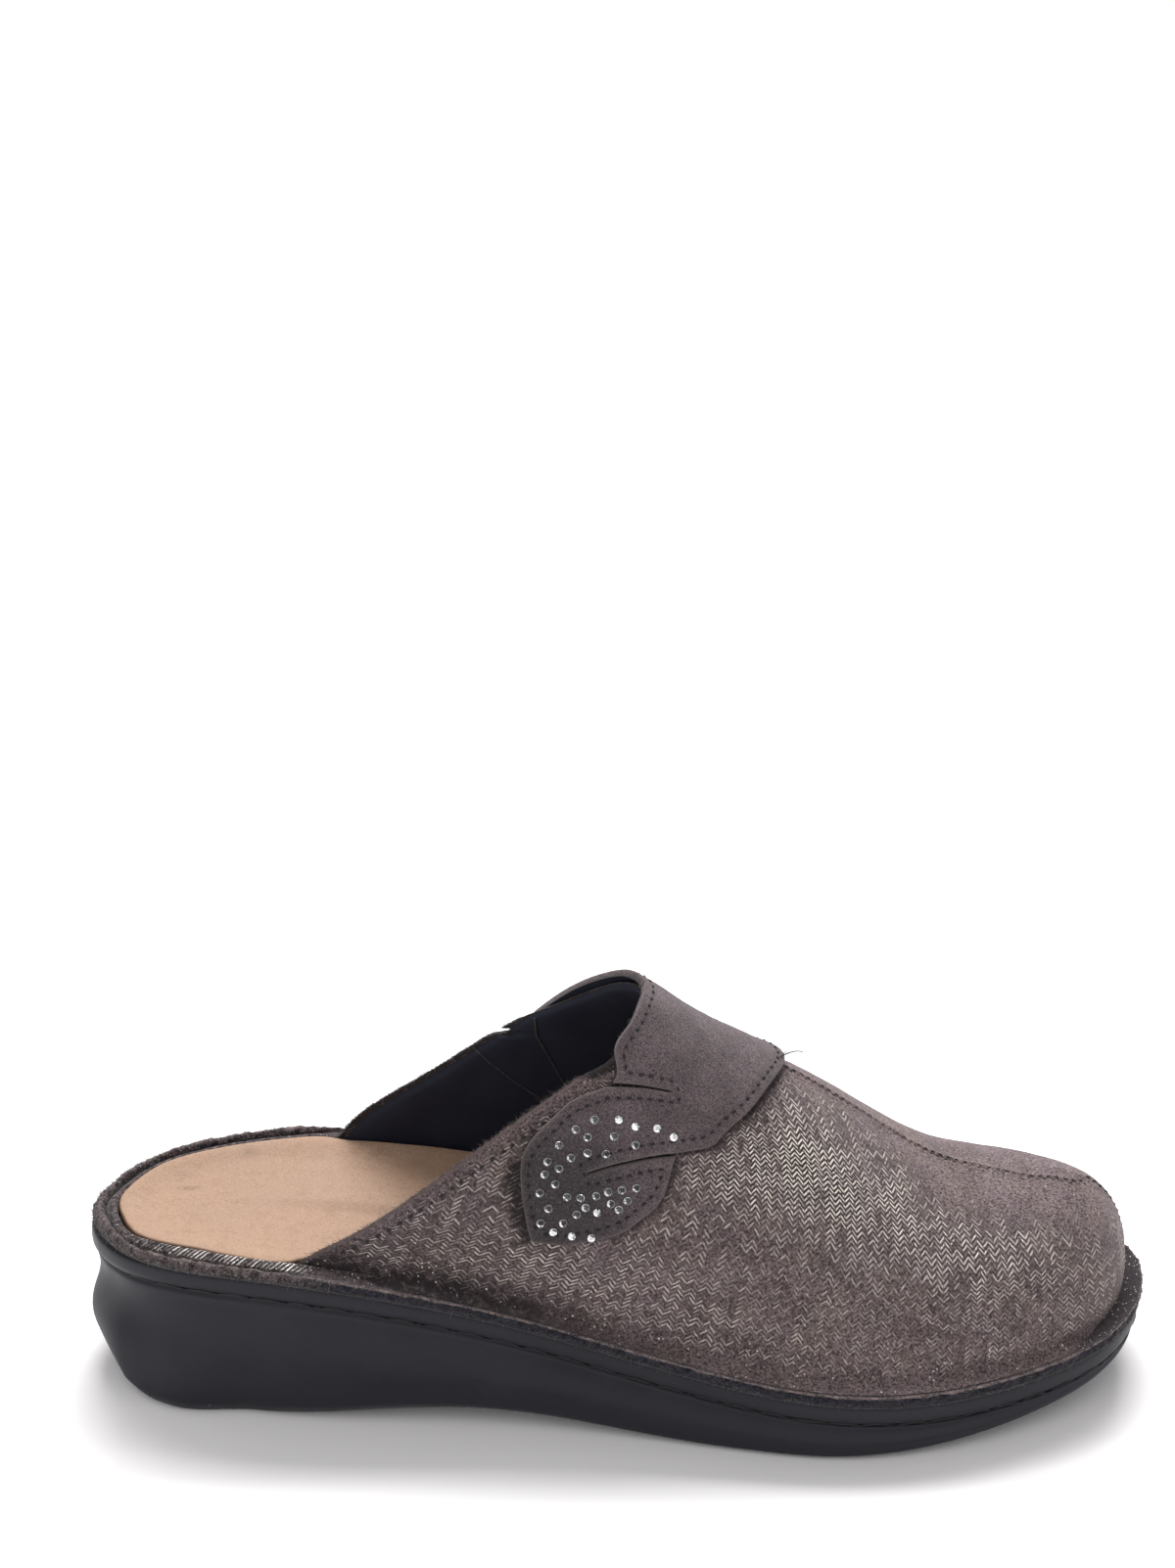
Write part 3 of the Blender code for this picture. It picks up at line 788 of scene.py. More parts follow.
def upper_suede():
    """Taupe suede: nap, dark and raw edges, painted shade under and beside the strap and at the wall's
    foot, sparse glitter and the thread print.
    """
    made = Surface("upper_suede", (0.14, 0.105, 0.105), 0.9, Sheen_Weight=0.2, Sheen_Roughness=0.5,
                   Sheen_Tint=(0.86, 0.78, 0.79, 1), Specular_IOR_Level=0.25)
    run, rise, printed = made.attribute("weave")
    dark, glitter, raw = made.attribute("tone")
    mottle = made.noise(7.0, 3.0)
    hue = made.noise(11.0, 2.0)
    nap = made.noise(0.60, 3.0, 0.75)
    light = made.mix(made.ramp(hue, 0.35, 0.65), (0.190, 0.141, 0.129), (0.186, 0.136, 0.147))
    colour = made.mix(made.ramp(mottle, 0.3, 0.7), (0.132, 0.094, 0.097), light)
    colour = made.mix(made.ramp(nap, 0.36, 0.57, 0.95, 0.0), colour, (0.016, 0.010, 0.012))
    colour = made.mix(made.ramp(nap, 0.55, 0.70, 0.0, 0.60), colour, (0.31, 0.25, 0.245))
    streaks = made.noise(3.0, 2.0, 0.5, made.vector(run, made.times(rise, 0.08)))
    amount = made.times(printed, made.ramp(streaks, 0.3, 0.68, 0.72, 1.15))
    ragged = made.ramp(made.noise(2.2, 3.0, 0.6), 0.30, 0.60, 0.55, 1.1)
    # dark holds the dark edges, a darker heel end and painted shade: under the strap, along its front edge,
    # behind the tab, on the collar's edge under the strap and at the foot of the wall
    colour = made.mix(made.times(dark, ragged), colour, (0.016, 0.011, 0.012))
    weft = zigzag(made, run, rise, amount)
    deep = made.math("POWER", amount, 1.15)
    between = made.times(made.math("SUBTRACT", 1.0, weft), made.times(deep, 0.85))
    colour = made.mix(between, colour, (0.022, 0.015, 0.016))
    thread = made.times(weft, made.ramp(deep, 0.0, 1.0, 0.14, 1.0))
    colour = made.mix(thread, colour, (0.90, 0.82, 0.75))
    clusters = made.ramp(made.noise(4.0, 2.0), 0.40, 0.62)
    sparkle = made.times(made.specks(0.85, 0.20, 0.36), made.times(glitter, clusters))
    colour = made.mix(sparkle, colour, (0.80, 0.75, 0.71))
    colour = made.mix(raw, colour, (0.110, 0.081, 0.078))
    shine = made.math("MAXIMUM", thread, sparkle)
    made.put("Base Color", colour)
    made.put("Metallic", made.times(shine, 0.4))
    made.put("Roughness", made.ramp(shine, 0.0, 1.0, 0.92, 0.36))
    relief = made.bump(nap, 0.28, 0.9)
    made.put("Normal", made.bump(thread, 0.10, 0.8, relief))
    return made.material


def strap_suede():
    """Plain grey-taupe suede, darker on the tab, with painted shade in the stitch groove and down its cut
    edge towards the upper.
    """
    made = Surface("strap_suede", (0.12, 0.095, 0.10), 0.95, Sheen_Weight=0.2, Sheen_Roughness=0.55,
                   Sheen_Tint=(0.85, 0.80, 0.82, 1), Specular_IOR_Level=0.2)
    rim, groove, tab = made.attribute("tone")
    mottle = made.noise(8.0, 3.0)
    tuft = made.noise(1.5, 3.0, 0.6)
    nap = made.noise(0.42, 3.0, 0.75)
    colour = made.mix(made.ramp(mottle, 0.3, 0.7), (0.100, 0.076, 0.081), (0.136, 0.105, 0.112))
    colour = made.mix(tab, colour, (0.041, 0.035, 0.037))
    colour = made.mix(made.ramp(tuft, 0.35, 0.6, 0.35, 0.0), colour, (0.055, 0.042, 0.045))
    colour = made.mix(made.ramp(nap, 0.35, 0.56, 0.92, 0.0), colour, (0.018, 0.013, 0.015))
    colour = made.mix(made.ramp(nap, 0.56, 0.70, 0.0, 0.45), colour, (0.21, 0.172, 0.178))
    colour = made.mix(rim, colour, (0.105, 0.080, 0.077))
    # groove: painted shade in the stitch groove, and down the cut edge towards the upper
    colour = made.mix(groove, colour, (0.036, 0.028, 0.030))
    made.put("Base Color", colour)
    made.put("Normal", made.bump(nap, 0.28, 0.9))
    return made.material


def rand_suede():
    """Dark suede of the rim: brown at the heel, nearly black along the front's side, with a raw lip and
    painted shade in its crevice and along its feet.
    """
    made = Surface("rand_suede", (0.06, 0.05, 0.05), 0.95, Sheen_Weight=0.2, Sheen_Roughness=0.5,
                   Sheen_Tint=(0.8, 0.78, 0.8, 1), Specular_IOR_Level=0.2)
    fore, side, lip = made.attribute("tone")
    run, rise, printed = made.attribute("weave")
    crevice, glitter, toe = made.attribute("shade")
    clumps = made.ramp(made.noise(1.1, 3.0, 0.70), 0.38, 0.60)
    nap = made.noise(0.60, 3.0, 0.7)
    heel = made.mix(clumps, (0.007, 0.005, 0.006), (0.120, 0.087, 0.087))
    front = made.mix(clumps, (0.004, 0.004, 0.008), (0.024, 0.023, 0.033))
    flange = made.mix(clumps, (0.040, 0.028, 0.030), (0.100, 0.074, 0.076))
    flange = made.mix(made.times(toe, 0.75), flange, (0.022, 0.018, 0.021))
    front = made.mix(side, flange, front)
    colour = made.mix(fore, heel, front)
    colour = made.mix(made.ramp(nap, 0.32, 0.60, 0.80, 0.0), colour, (0.008, 0.006, 0.008))
    # crevice: painted shade in the furrow behind the roll, along the rim's outer foot and along its inner
    # foot at the heel
    colour = made.mix(crevice, colour, (0.007, 0.005, 0.005))
    thread = made.times(zigzag(made, run, rise, printed, STRIP_LEG, STRIP_PITCH), printed)
    sparkle = made.times(made.specks(0.8, 0.40, 0.26), glitter)
    shine = made.math("MAXIMUM", thread, sparkle)
    colour = made.mix(shine, colour, (0.95, 0.91, 0.87))
    colour = made.mix(made.times(lip, made.ramp(nap, 0.34, 0.58)), colour, (0.30, 0.235, 0.225))
    made.put("Base Color", colour)
    made.put("Metallic", made.times(shine, 0.5))
    made.put("Roughness", made.ramp(shine, 0.0, 1.0, 0.95, 0.35))
    made.put("Normal", made.bump(nap, 0.30, 0.9))
    return made.material


def sole_rubber(name, tint, gloss):
    """Satin black rubber with faint clouds, dust specks and a paler foot."""
    made = Surface(name, tint, gloss, Specular_IOR_Level=0.26, Specular_Tint=(0.90, 0.92, 1.0, 1))
    cloud = made.noise(18.0, 3.0)
    grain = made.noise(0.35, 2.0)
    dust = made.specks(7.0, 0.12, 0.045)
    lighter = tuple(1.45 * part + 0.001 for part in tint)
    colour = made.mix(made.ramp(cloud, 0.35, 0.7), tint, lighter)
    height = made.split(made.place())[2]
    colour = made.mix(made.ramp(height, 0.004, 0.020, 0.60, 0.0), colour, (0.0160, 0.0155, 0.0205))
    made.put("Base Color", made.mix(dust, colour, (0.20, 0.19, 0.19)))
    made.put("Roughness", made.ramp(cloud, 0.3, 0.7, gloss - 0.05, gloss + 0.08))
    made.put("Normal", made.bump(grain, 0.03, 0.5))
    return made.material


def insole_leather():
    """Tan leather with grain, flecks, a few scuffs and a dark cut edge."""
    made = Surface("insole_leather", (0.34, 0.224, 0.160), 0.7, Specular_IOR_Level=0.25)
    rim, _, _ = made.attribute("tone")
    cloud = made.ramp(made.noise(20.0, 3.0), 0.3, 0.7)
    grain = made.noise(0.55, 3.0, 0.65)
    fleck = made.times(made.specks(3.6, 0.22, 0.10), 0.40)
    patch = made.noise(3.2, 4.0, 0.65)
    colour = made.mix(cloud, (0.316, 0.200, 0.136), (0.352, 0.230, 0.160))
    colour = made.mix(made.ramp(patch, 0.30, 0.52, 0.50, 0.0), colour, (0.262, 0.160, 0.104))
    colour = made.mix(made.ramp(grain, 0.32, 0.52, 0.65, 0.0), colour, (0.235, 0.142, 0.092))
    colour = made.mix(made.ramp(grain, 0.55, 0.75, 0.0, 0.55), colour, (0.440, 0.305, 0.222))
    colour = made.mix(fleck, colour, (0.180, 0.115, 0.080))
    for across, down, long, wide, strength in SCUFF_PIXELS:
        worn = made.spot(pixel_at_height((across, down), SCUFF_HEIGHT), long, wide, strength)
        colour = made.mix(worn, colour, (0.150, 0.098, 0.070))
    made.put("Base Color", made.mix(rim, colour, (0.130, 0.072, 0.040)))
    made.put("Roughness", made.ramp(cloud, 0.0, 1.0, 0.62, 0.78))
    made.put("Normal", made.bump(grain, 0.07, 0.6))
    return made.material


def lining_cloth():
    made = Surface("lining_cloth", (0.006, 0.0072, 0.012), 0.75, Specular_IOR_Level=0.25,
                   Specular_Tint=(0.85, 0.9, 1.0, 1))
    grain = made.noise(0.6, 2.0)
    cloud = made.ramp(made.noise(14.0, 2.0), 0.3, 0.7)
    colour = made.mix(cloud, (0.0095, 0.0104, 0.0185), (0.0145, 0.0156, 0.0255))
    made.put("Base Color", colour)
    made.put("Roughness", made.ramp(cloud, 0.0, 1.0, 0.68, 0.8))
    made.put("Normal", made.bump(grain, 0.08, 0.6))
    return made.material


def elastic_cloth():
    made = Surface("elastic_cloth", (0.012, 0.012, 0.014), 0.8, Sheen_Weight=0.1)
    along, _, _ = made.attribute("weave")
    rib = made.math("PINGPONG", made.math("DIVIDE", along, 1.1), 0.5)
    grain = made.noise(0.4, 2.0)
    made.put("Base Color", made.mix(made.ramp(rib, 0.0, 0.5), (0.006, 0.006, 0.007), (0.022, 0.022, 0.026)))
    relief = made.bump(rib, 0.35, 0.9)
    made.put("Normal", made.bump(grain, 0.1, 0.5, relief))
    return made.material


def thread(name, dark, light):
    made = Surface(name, dark, 0.7, Specular_IOR_Level=0.4)
    twist = made.noise(0.3, 2.0)
    made.put("Base Color", made.mix(made.ramp(twist, 0.35, 0.65), dark, light))
    made.put("Normal", made.bump(twist, 0.08, 0.8))
    return made.material


def hair(name, dark, light):
    made = Surface(name, dark, 0.9, Sheen_Weight=0.3)
    made.put("Base Color", made.mix(made.ramp(made.noise(1.6, 2.0), 0.35, 0.65), dark, light))
    return made.material


def stone(name, dark, light, roughness, metallic):
    made = Surface(name, light, roughness, Metallic=metallic, Coat_Weight=0.6, Coat_Roughness=0.05)
    made.put("Base Color", made.mix(made.ramp(made.noise(0.9, 1.0), 0.35, 0.65), dark, light))
    return made.material


def floor_paint_and_glow():
    """Pale floor that glows towards the back, so that it reads white far off, and glows as painted light in
    a narrow band just in front of the shoe, cutting its shadow short.
    """
    made = Surface("floor_paint_and_glow", (0.93, 0.93, 0.93), 1.0, Specular_IOR_Level=0.0,
                   Emission_Color=(1, 1, 1, 1))
    behind = made.split(made.place())[1]
    # Glow that grows behind the shoe, and painted light in a narrow band in front of it that cuts the
    # shadow short
    back = made.ramp(behind, 0.15, 1.0, 0.0, 0.75)
    made.put("Emission Strength", made.math("MAXIMUM", back, made.ramp(behind, -0.050, -0.068, 0.0, 0.30)))
    made.put("Base Color", made.mix(made.noise(60.0, 2.0), (0.930, 0.912, 0.920), (0.940, 0.922, 0.930)))
    return made.material


# Sole

OUTSOLE_LEVELS = np.concatenate([
    np.linspace(0, 0.10, 9),
    np.linspace(0.12, 0.94, 22),
    np.linspace(0.955, 1, 5),
])
OUTSOLE_LIP = 0.0009
OUTSOLE_LIP_GROWS = (0.93, 1.0)
TREAD_PITCH = 0.0085
TREAD_DEPTH = 0.0010
TREAD_BOW = 0.010
TREAD_GROOVE = (0.62, 0.90)
TREAD_RIM = (0.03, 0.09)
TREAD_ZONES = (
    # from the heel back: start and end of the growth, start and end of the fade
    (0.142, 0.150, 0.228, 0.236),
    (0.010, 0.016, 0.054, 0.062),
)


def outsole_ring(places, share):
    """Loop round the outsole at a share of its height."""
    side_inset = from_table(OUTSOLE_WALL, 1, share)
    heel_inset = from_table(OUTSOLE_WALL, 2, share)
    lip = OUTSOLE_LIP * smooth_step(share, *OUTSOLE_LIP_GROWS) ** 2
    square = HEEL_SQUARE * fade(share, 0, HEEL_SQUARE_TOP)

    def inset(x, _):
        wide = square * window(x, *HEEL_SQUARE_GROWS, *HEEL_SQUARE_FADES)
        return heel_inset + (side_inset - heel_inset) * smooth_step(x, *HEEL_PROFILE_FADES) + lip - wide

    def height(flat):
        top = welt_top(flat[:, 0]) - WELT_THICKNESS - GAP
        low = tread_height(flat[:, 0])
        return low + (top - low) * share

    return ring(places, inset, height)


def tread_net(loop):
    """Net of points across the underside, with shallow grooves under heel and forefoot."""
    half = len(loop) // 2
    across = np.linspace(0, 1, 27)[1:-1]
    outer = loop[1:half]
    inner = loop[-1:half:-1]
    net = outer[:, None] + (inner - outer)[:, None] * across[None, :, None]
    x = net[..., 0]
    bowed = x - TREAD_BOW * (1 - (2 * across[None, :] - 1) ** 2)
    wave = 0.5 - 0.5 * np.cos(2 * np.pi * bowed / TREAD_PITCH)
    zone = sum(window(x, *ends) for ends in TREAD_ZONES)
    inside = smooth_step(np.minimum(across, 1 - across), *TREAD_RIM)[None, :]
    net[..., 2] += TREAD_DEPTH * smooth_step(wave, *TREAD_GROOVE) * zone * inside
    return net


def make_outsole(material):
    places = station_places(360)
    rings = np.stack([outsole_ring(places, share) for share in OUTSOLE_LEVELS])
    index, faces = ring_faces(rings, (-1,))
    half = rings.shape[1] // 2
    net = tread_net(rings[0])
    net_index = numbered(*net.shape[:2], first=index.size)
    bottom = np.hstack([index[0, 1:half, None], net_index, index[0, -1:half:-1, None]])
    faces += grid_faces(bottom)
    faces.append([index[0, 0]] + bottom[0].tolist())
    faces.append([index[0, half]] + bottom[-1].tolist())
    points = np.concatenate([rings.reshape(-1, 3), net.reshape(-1, 3)])
    add_piece("outsole_skin", points, faces, [material], replaces="outsole")


WELT_SECTION = (
    # height_share, inset
    (0.00, 0.0022), (0.015, 0.0014), (0.07, 0.0008), (0.17, 0.0005), (0.40, 0.0004),
    (0.66, 0.0005), (0.84, 0.0006), (0.93, 0.0009), (0.985, 0.0015), (1.00, 0.0022),
)


def on_welt(flat):
    return welt_top(flat[:, 0])


def make_welt(material):
    places = station_places(240)
    bulge = WELT_BULGE * fade(places, 0, WELT_BULGE_END)
    rings = []
    for share, inset in WELT_SECTION:
        loop = ring(places, lambda x, _: inset - bulge, on_welt)
        loop[:, 2] -= WELT_THICKNESS * (1 - share)
        rings.append(loop)
    rings = np.stack(rings)
    _, faces = ring_faces(rings, (0, -1))
    return add_piece("welt_skin", rings.reshape(-1, 3), faces, [material], replaces="welt")


RAND_HEEL_SECTION = (
    # width_share, height_share
    (0.02, -0.10), (-0.07, 0.12), (-0.10, 0.42), (-0.05, 0.74), (0.08, 0.96), (0.22, 1.00), (0.34, 0.88),
    (0.42, 0.62), (0.50, 0.60), (0.60, 0.74), (0.78, 0.82), (0.93, 0.76), (0.995, 0.55), (1.00, 0.00),
)
RAND_NEAR_SECTION = (
    # width_share, height_share
    (0.02, -0.10), (-0.07, 0.10), (-0.10, 0.32), (-0.05, 0.54), (0.06, 0.69), (0.18, 0.72), (0.28, 0.65),
    (0.35, 0.54), (0.44, 0.56), (0.57, 0.70), (0.75, 0.86), (0.91, 0.97), (0.995, 0.80), (1.00, 0.00),
)
RAND_FORE_SECTION = (
    # width_share, height_share
    (0.02, -0.12), (-0.04, 0.06), (-0.05, 0.26), (-0.02, 0.46), (0.00, 0.56), (-0.07, 0.64), (-0.05, 0.72),
    (0.08, 0.73), (0.24, 0.64), (0.55, 0.56), (0.85, 0.56), (1.04, 0.64), (1.16, 0.78), (1.12, 0.00),
)
RAND_NEAR_GROWS = (0.003, 0.016)
RAND_LEVELS = np.linspace(0, 1, 50)

# Levels of the rim's section, as shares of the way from its outer foot to its inner foot
RAND_FREE = (0.03, 0.12, 0.88, 0.95)
RAND_ROLL_ENDS = (0.45, 0.60)
RAND_STRIP = (0.64, 0.70, 0.87, 0.94)
RAND_SIDE_ENDS = (0.33, 0.41)
RAND_RAW_LIP = (0.455, 0.045)
RAND_ROLL_LIP = (0.33, 0.09)
RAND_CREVICE = (0.565, 0.05)
RAND_FOOT_SHADE = (0.04, 0.15)
RAND_INNER_SHADE = (0.90, 0.94)
RAND_FLANGE = (0.50, 0.58)

# Lengths along the shoe where the strip's print grows and where the toe darkens
STRIP_PRINT_GROWS = (0.006, 0.022)
RAND_TOE = (0.236, 0.254)

# Height across the strip's strokes from the outer foot to the inner foot, in millimetres
STRIP_RISE = -11.5

# Swelling of the rim: size of lumps and grain, their heights, and what the roll and the front add
RAND_LUMP = 0.0055
RAND_LUMP_HEIGHT = 0.00008
RAND_LUMP_ON_ROLL = 0.00012
RAND_LUMP_AT_FRONT = -0.00009
RAND_GRAIN = 0.0012
RAND_GRAIN_HEIGHT = 0.00006
RAND_GRAIN_ON_ROLL = 0.00020
RAND_SWELL = 1.6
RAND_CORE_HEIGHT = 0.45


def lumps(points, size, seed):
    """Uneven swelling at each point, with lumps of about the given size."""
    shift = Vector((7.3 * seed, 2.9 * seed, 4.1 * seed))
    values = [noise.noise(Vector(spot) + shift) for spot in (points.reshape(-1, 3) / size).tolist()]
    return np.array(values).reshape(points.shape[:-1])


def rand_loops(places):
    """Smooth loops of the rim strip, from its outer foot over the roll to its inner foot."""
    fore = smooth_step(places, *RAND_CHANGES)[:, None]
    near = {1: smooth_step(places, *RAND_NEAR_GROWS)[:, None], 2: 0.0}
    tuck = RAND_TUCK * fade(places, 0, RAND_TUCK_END)
    knots = np.linspace(0, 1, len(RAND_HEEL_SECTION))
    loops = []
    for share in RAND_LEVELS:
        heel, beside, front = (
            np.array([natural_spline(knots, column(table, k), np.array(share)) for k in (0, 1)])
            for table in (RAND_HEEL_SECTION, RAND_NEAR_SECTION, RAND_FORE_SECTION))
        section = {}
        for _, index in BOTH_SIDES:
            roll = heel + (beside - heel) * near[index]
            section[index] = roll + (front - roll) * fore

        def inset(x, index):
            return tuck + (straight(RAND_WIDTH, index, x) - tuck) * section[index][:, 0]

        loop = ring(places, inset, on_welt)
        rise = np.concatenate([section[1][:, 1], section[2][-2:0:-1, 1]])
        loop[:, 2] += GAP + RAND_HEIGHT * rise
        loops.append(loop)
    return np.stack(loops)


def rand_looks(places, run):
    """Values for the rim's material at each level and place: print, tone and shade."""
    x = around(places)
    level = RAND_LEVELS[:, None]
    flat = np.ones((len(level), len(x)))
    outer = np.arange(len(x)) < len(places)
    fore = smooth_step(x, *RAND_CHANGES)
    heel = 1 - fore
    roll = fade(level, *RAND_ROLL_ENDS)
    strip = window(level, *RAND_STRIP)
    shown = np.where(outer, smooth_step(x, *STRIP_PRINT_GROWS), 0.0) * (0.66 + 0.34 * wander(run, 17.0, 78))
    printed = strip * heel * np.clip(shown, 0, 1)
    side = fade(level, *RAND_SIDE_ENDS) * flat
    lip = hump(level, *RAND_RAW_LIP) * fore * (0.6 + 0.4 * wander(run, 9.0, 77))
    lip = lip + hump(level, *RAND_ROLL_LIP) * heel * (0.40 + 0.40 * wander(run, 6.0, 79))
    # Painted shade: in the furrow behind the roll, along the rim's outer foot and along its inner foot at
    # the heel
    crevice = hump(level, *RAND_CREVICE) * heel + 0.8 * fade(level, *RAND_FOOT_SHADE)
    crevice = crevice + 0.85 * smooth_step(level, *RAND_INNER_SHADE) * heel
    glitter = np.where(outer, 0.7, 0.35) * strip * heel + 0.30 * roll * heel
    glitter = glitter + 0.9 * smooth_step(level, *RAND_FLANGE) * fore
    toe = smooth_step(x, *RAND_TOE)
    looks = {
        "weave": (run * flat, level * STRIP_RISE * flat, printed),
        "tone": (fore * flat, side, np.clip(lip, 0, 1)),
        "shade": (np.clip(crevice, 0, 1), np.clip(glitter, 0, 1), toe * flat),
    }
    return {name: np.stack(values, -1).reshape(-1, 3) for name, values in looks.items()}


def make_rand(material):
    places = station_places(450)
    mid = ring(places, lambda x, index: straight(RAND_WIDTH, index, x) / 2, on_welt)
    rings = rand_loops(places)
    along = np.roll(rings, -1, axis=1) - np.roll(rings, 1, axis=1)
    normal = unit(np.cross(np.gradient(rings, axis=0), along), 1e-9)
    core = mid + [0, 0, GAP + RAND_HEIGHT * RAND_CORE_HEIGHT]
    normal *= np.sign(np.sum(normal * (rings - core)))
    level = RAND_LEVELS[:, None]
    roll = fade(level, *RAND_ROLL_ENDS)
    fore = smooth_step(around(places), *RAND_CHANGES)
    coarse = RAND_LUMP_HEIGHT + roll * (RAND_LUMP_ON_ROLL + RAND_LUMP_AT_FRONT * fore)
    fine = RAND_GRAIN_HEIGHT + roll * RAND_GRAIN_ON_ROLL
    swell = coarse * lumps(rings, RAND_LUMP, 1) + fine * lumps(rings, RAND_GRAIN, 2)
    rings = rings + normal * (swell * window(level, *RAND_FREE) * RAND_SWELL)[..., None]
    faces = grid_faces(numbered(*rings.shape[:2]), wrap_rows=True, wrap_columns=True)
    add_piece("rand_skin", rings.reshape(-1, 3), faces, [material],
              rand_looks(places, run_along(mid) / MM), sharp=80, replaces="rand")
    return rings


FOOTBED_CUT = (
    # drop of the cut edge's loops below the rim, in lips
    1.6, 1.0, 0.6,
)
FOOTBED_CUT_TONE = 0.95
FOOTBED_ROUNDING = (
    # width_share, extra drop, tone of the cut edge
    (0.994, 0.00022, 0.75),
    (0.985, 0.00005, 0.20),
    (0.974, 0.0, 0.0),
)
FOOTBED_SHARES = np.concatenate([np.linspace(0.95, 0.10, 26), [0.03]])


def make_insole(material):
    places = station_places(200)
    spine_x = np.clip(places, *FOOTBED_SPINE)
    spine_y = (edge(-1, spine_x, 0)[:, 1] + edge(1, spine_x, 0)[:, 1]) / 2
    spine = np.column_stack([spine_x, spine_y])

    def level(width_share, above_welt):
        loops = []
        for side, index in BOTH_SIDES:
            rim_line = edge(side, places, straight(FOOTBED_INSET, index, places))
            flat = spine + (rim_line - spine) * width_share
            rise = above_welt(from_table(FOOTBED_EDGE, index, places))
            loops.append(np.column_stack([flat, welt_top(flat[:, 0]) + rise]))
        return np.concatenate([loops[0], loops[1][-2:0:-1]])

    def cupped(width_share, extra=0.0):
        keep = (1 + width_share) / 2
        drop = float(from_table(FOOTBED_CUP, 1, width_share)) + extra
        return level(width_share, lambda rim: rim * keep + FOOTBED_CENTRE * (1 - width_share) - drop)

    rings = [level(1.0, lambda rim: np.full_like(rim, GAP))]
    tones = [1.0]
    for drop in FOOTBED_CUT:
        rings.append(level(1.0, lambda rim: rim - FOOTBED_LIP * drop))
        tones.append(FOOTBED_CUT_TONE)
    for share, drop, tone in FOOTBED_ROUNDING:
        rings.append(cupped(share, drop))
        tones.append(tone)
    for share in FOOTBED_SHARES:
        rings.append(cupped(share))
        tones.append(0.0)
    rings = np.stack(rings)
    _, faces = ring_faces(rings, (0, -1))
    tone = np.zeros(rings.shape)
    tone[..., 0] = np.array(tones)[:, None]
    add_piece("insole_skin", rings.reshape(-1, 3), faces, [material], replaces="insole",
              attributes={"tone": tone.reshape(-1, 3)})


# Upper

GIRTH_STRETCHES = (
    # start, end, count: closer together at the notch and at the centre seam
    (0.0, 0.04, 6),
    (0.055, 0.562, 31),
    (0.570, 0.606, 19),
    (0.62, 0.93, 20),
    (0.9345, 1.0, 24),
)
GIRTHS = np.concatenate([np.linspace(*stretch) for stretch in GIRTH_STRETCHES])
SIGNED_GIRTHS = np.concatenate([GIRTHS - 1, 1 - GIRTHS[-2::-1]])
UPPER_SPREAD = np.concatenate([[0, 0.0025, 0.005, 0.009], np.sin(np.linspace(0.015, np.pi / 2, 150))])
LINING_SPREAD = np.concatenate([[0, 0.003, 0.006], np.sin(np.linspace(0.015, np.pi / 2, 90))])
COLLAR_TUCK = 0.0012
STRAP_COVERS = {1: (0.665, 0.700), 2: (0.630, 0.665)}
NOTCH_GIRTH = 0.5885
NOTCH_FLANK = (0.0070, 0.0110)
NOTCH_DEPTH = 0.0034
LINING_DROP_FADES = (0.60, 0.64)


def collar_start(index, girths):
    """Where the upper begins: at the collar, or tucked under the strap's rear edge."""
    start = from_table(COLLAR, index, girths) + COLLAR_TUCK * smooth_step(girths, *STRAP_COVERS[index])
    if index == 2:
        start = start + NOTCH_DEPTH * fade(np.abs(girths - NOTCH_GIRTH), *NOTCH_FLANK)
    return start


def lining_start(index, girths):
    """Edge of the lining: close to the collar, and lower on the inner side below the strap."""
    start = collar_start(index, girths) + LINING_START
    if index == 2:
        start = start + LINING_DROP * fade(girths, *LINING_DROP_FADES)
    return start


def across_crest(outer, inner):
    """Grids of both sides as one, from the outer foot over the crest to the inner foot."""
    return np.concatenate([outer, inner[:, -2::-1]], axis=1)


def shell_grid(begin, spread):
    """Places on the upper's form, their normals and stations, and their ways from the edge."""
    grids = []
    stations = []
    for side, index in BOTH_SIDES:
        start = begin(index, GIRTHS)
        station = start[None, :] + (TOE_STATION - start)[None, :] * spread[:, None]
        grids.append(upper_form(side, station, np.broadcast_to(GIRTHS, station.shape)))
        stations.append(station)
    base = across_crest(*grids)
    station = across_crest(*stations)
    normal = unit(np.cross(np.gradient(base, axis=0), np.gradient(base, axis=1)), 1e-12)
    normal[-1] += normal[-1, ::-1]
    middle = len(GIRTHS) - 1
    normal[-1, middle] = normal[-1, middle - 1] + normal[-1, middle + 1]
    normal[-1] = unit(normal[-1])
    return base, normal, station, spread[:, None] * (TOE_STATION - station[:1])


def shell_faces(rows, columns):
    """Faces of a closed wall with an outer and an inner face, joined along the toe line."""
    middle = columns // 2
    outer = numbered(rows, columns)
    outer[-1, middle + 1:] = outer[-1, middle - 1::-1]
    inner = outer + rows * columns
    faces = grid_faces(outer) + grid_faces(inner[:, ::-1])
    faces += grid_faces(np.stack([outer[0], inner[0]]))
    for end in (0, -1):
        faces += grid_faces(np.stack([outer[:, end], inner[:, end]]))
    return faces


EDGE_WALL = 0.55
EDGE_WALL_END = 0.005


def wall_share(from_edge):
    """Thickness of the upper's wall near its collar, as a share of the full thickness."""
    return EDGE_WALL + (1 - EDGE_WALL) * smooth_step(from_edge, 0.0, EDGE_WALL_END)


def keep_used(points, faces, attributes):
    """Drops the points that no face uses."""
    used = np.unique([corner for face in faces for corner in face])
    place = np.full(len(points), -1)
    place[used] = np.arange(len(used))
    faces = [[int(place[corner]) for corner in face] for face in faces]
    return points[used], faces, {key: values[used] for key, values in attributes.items()}


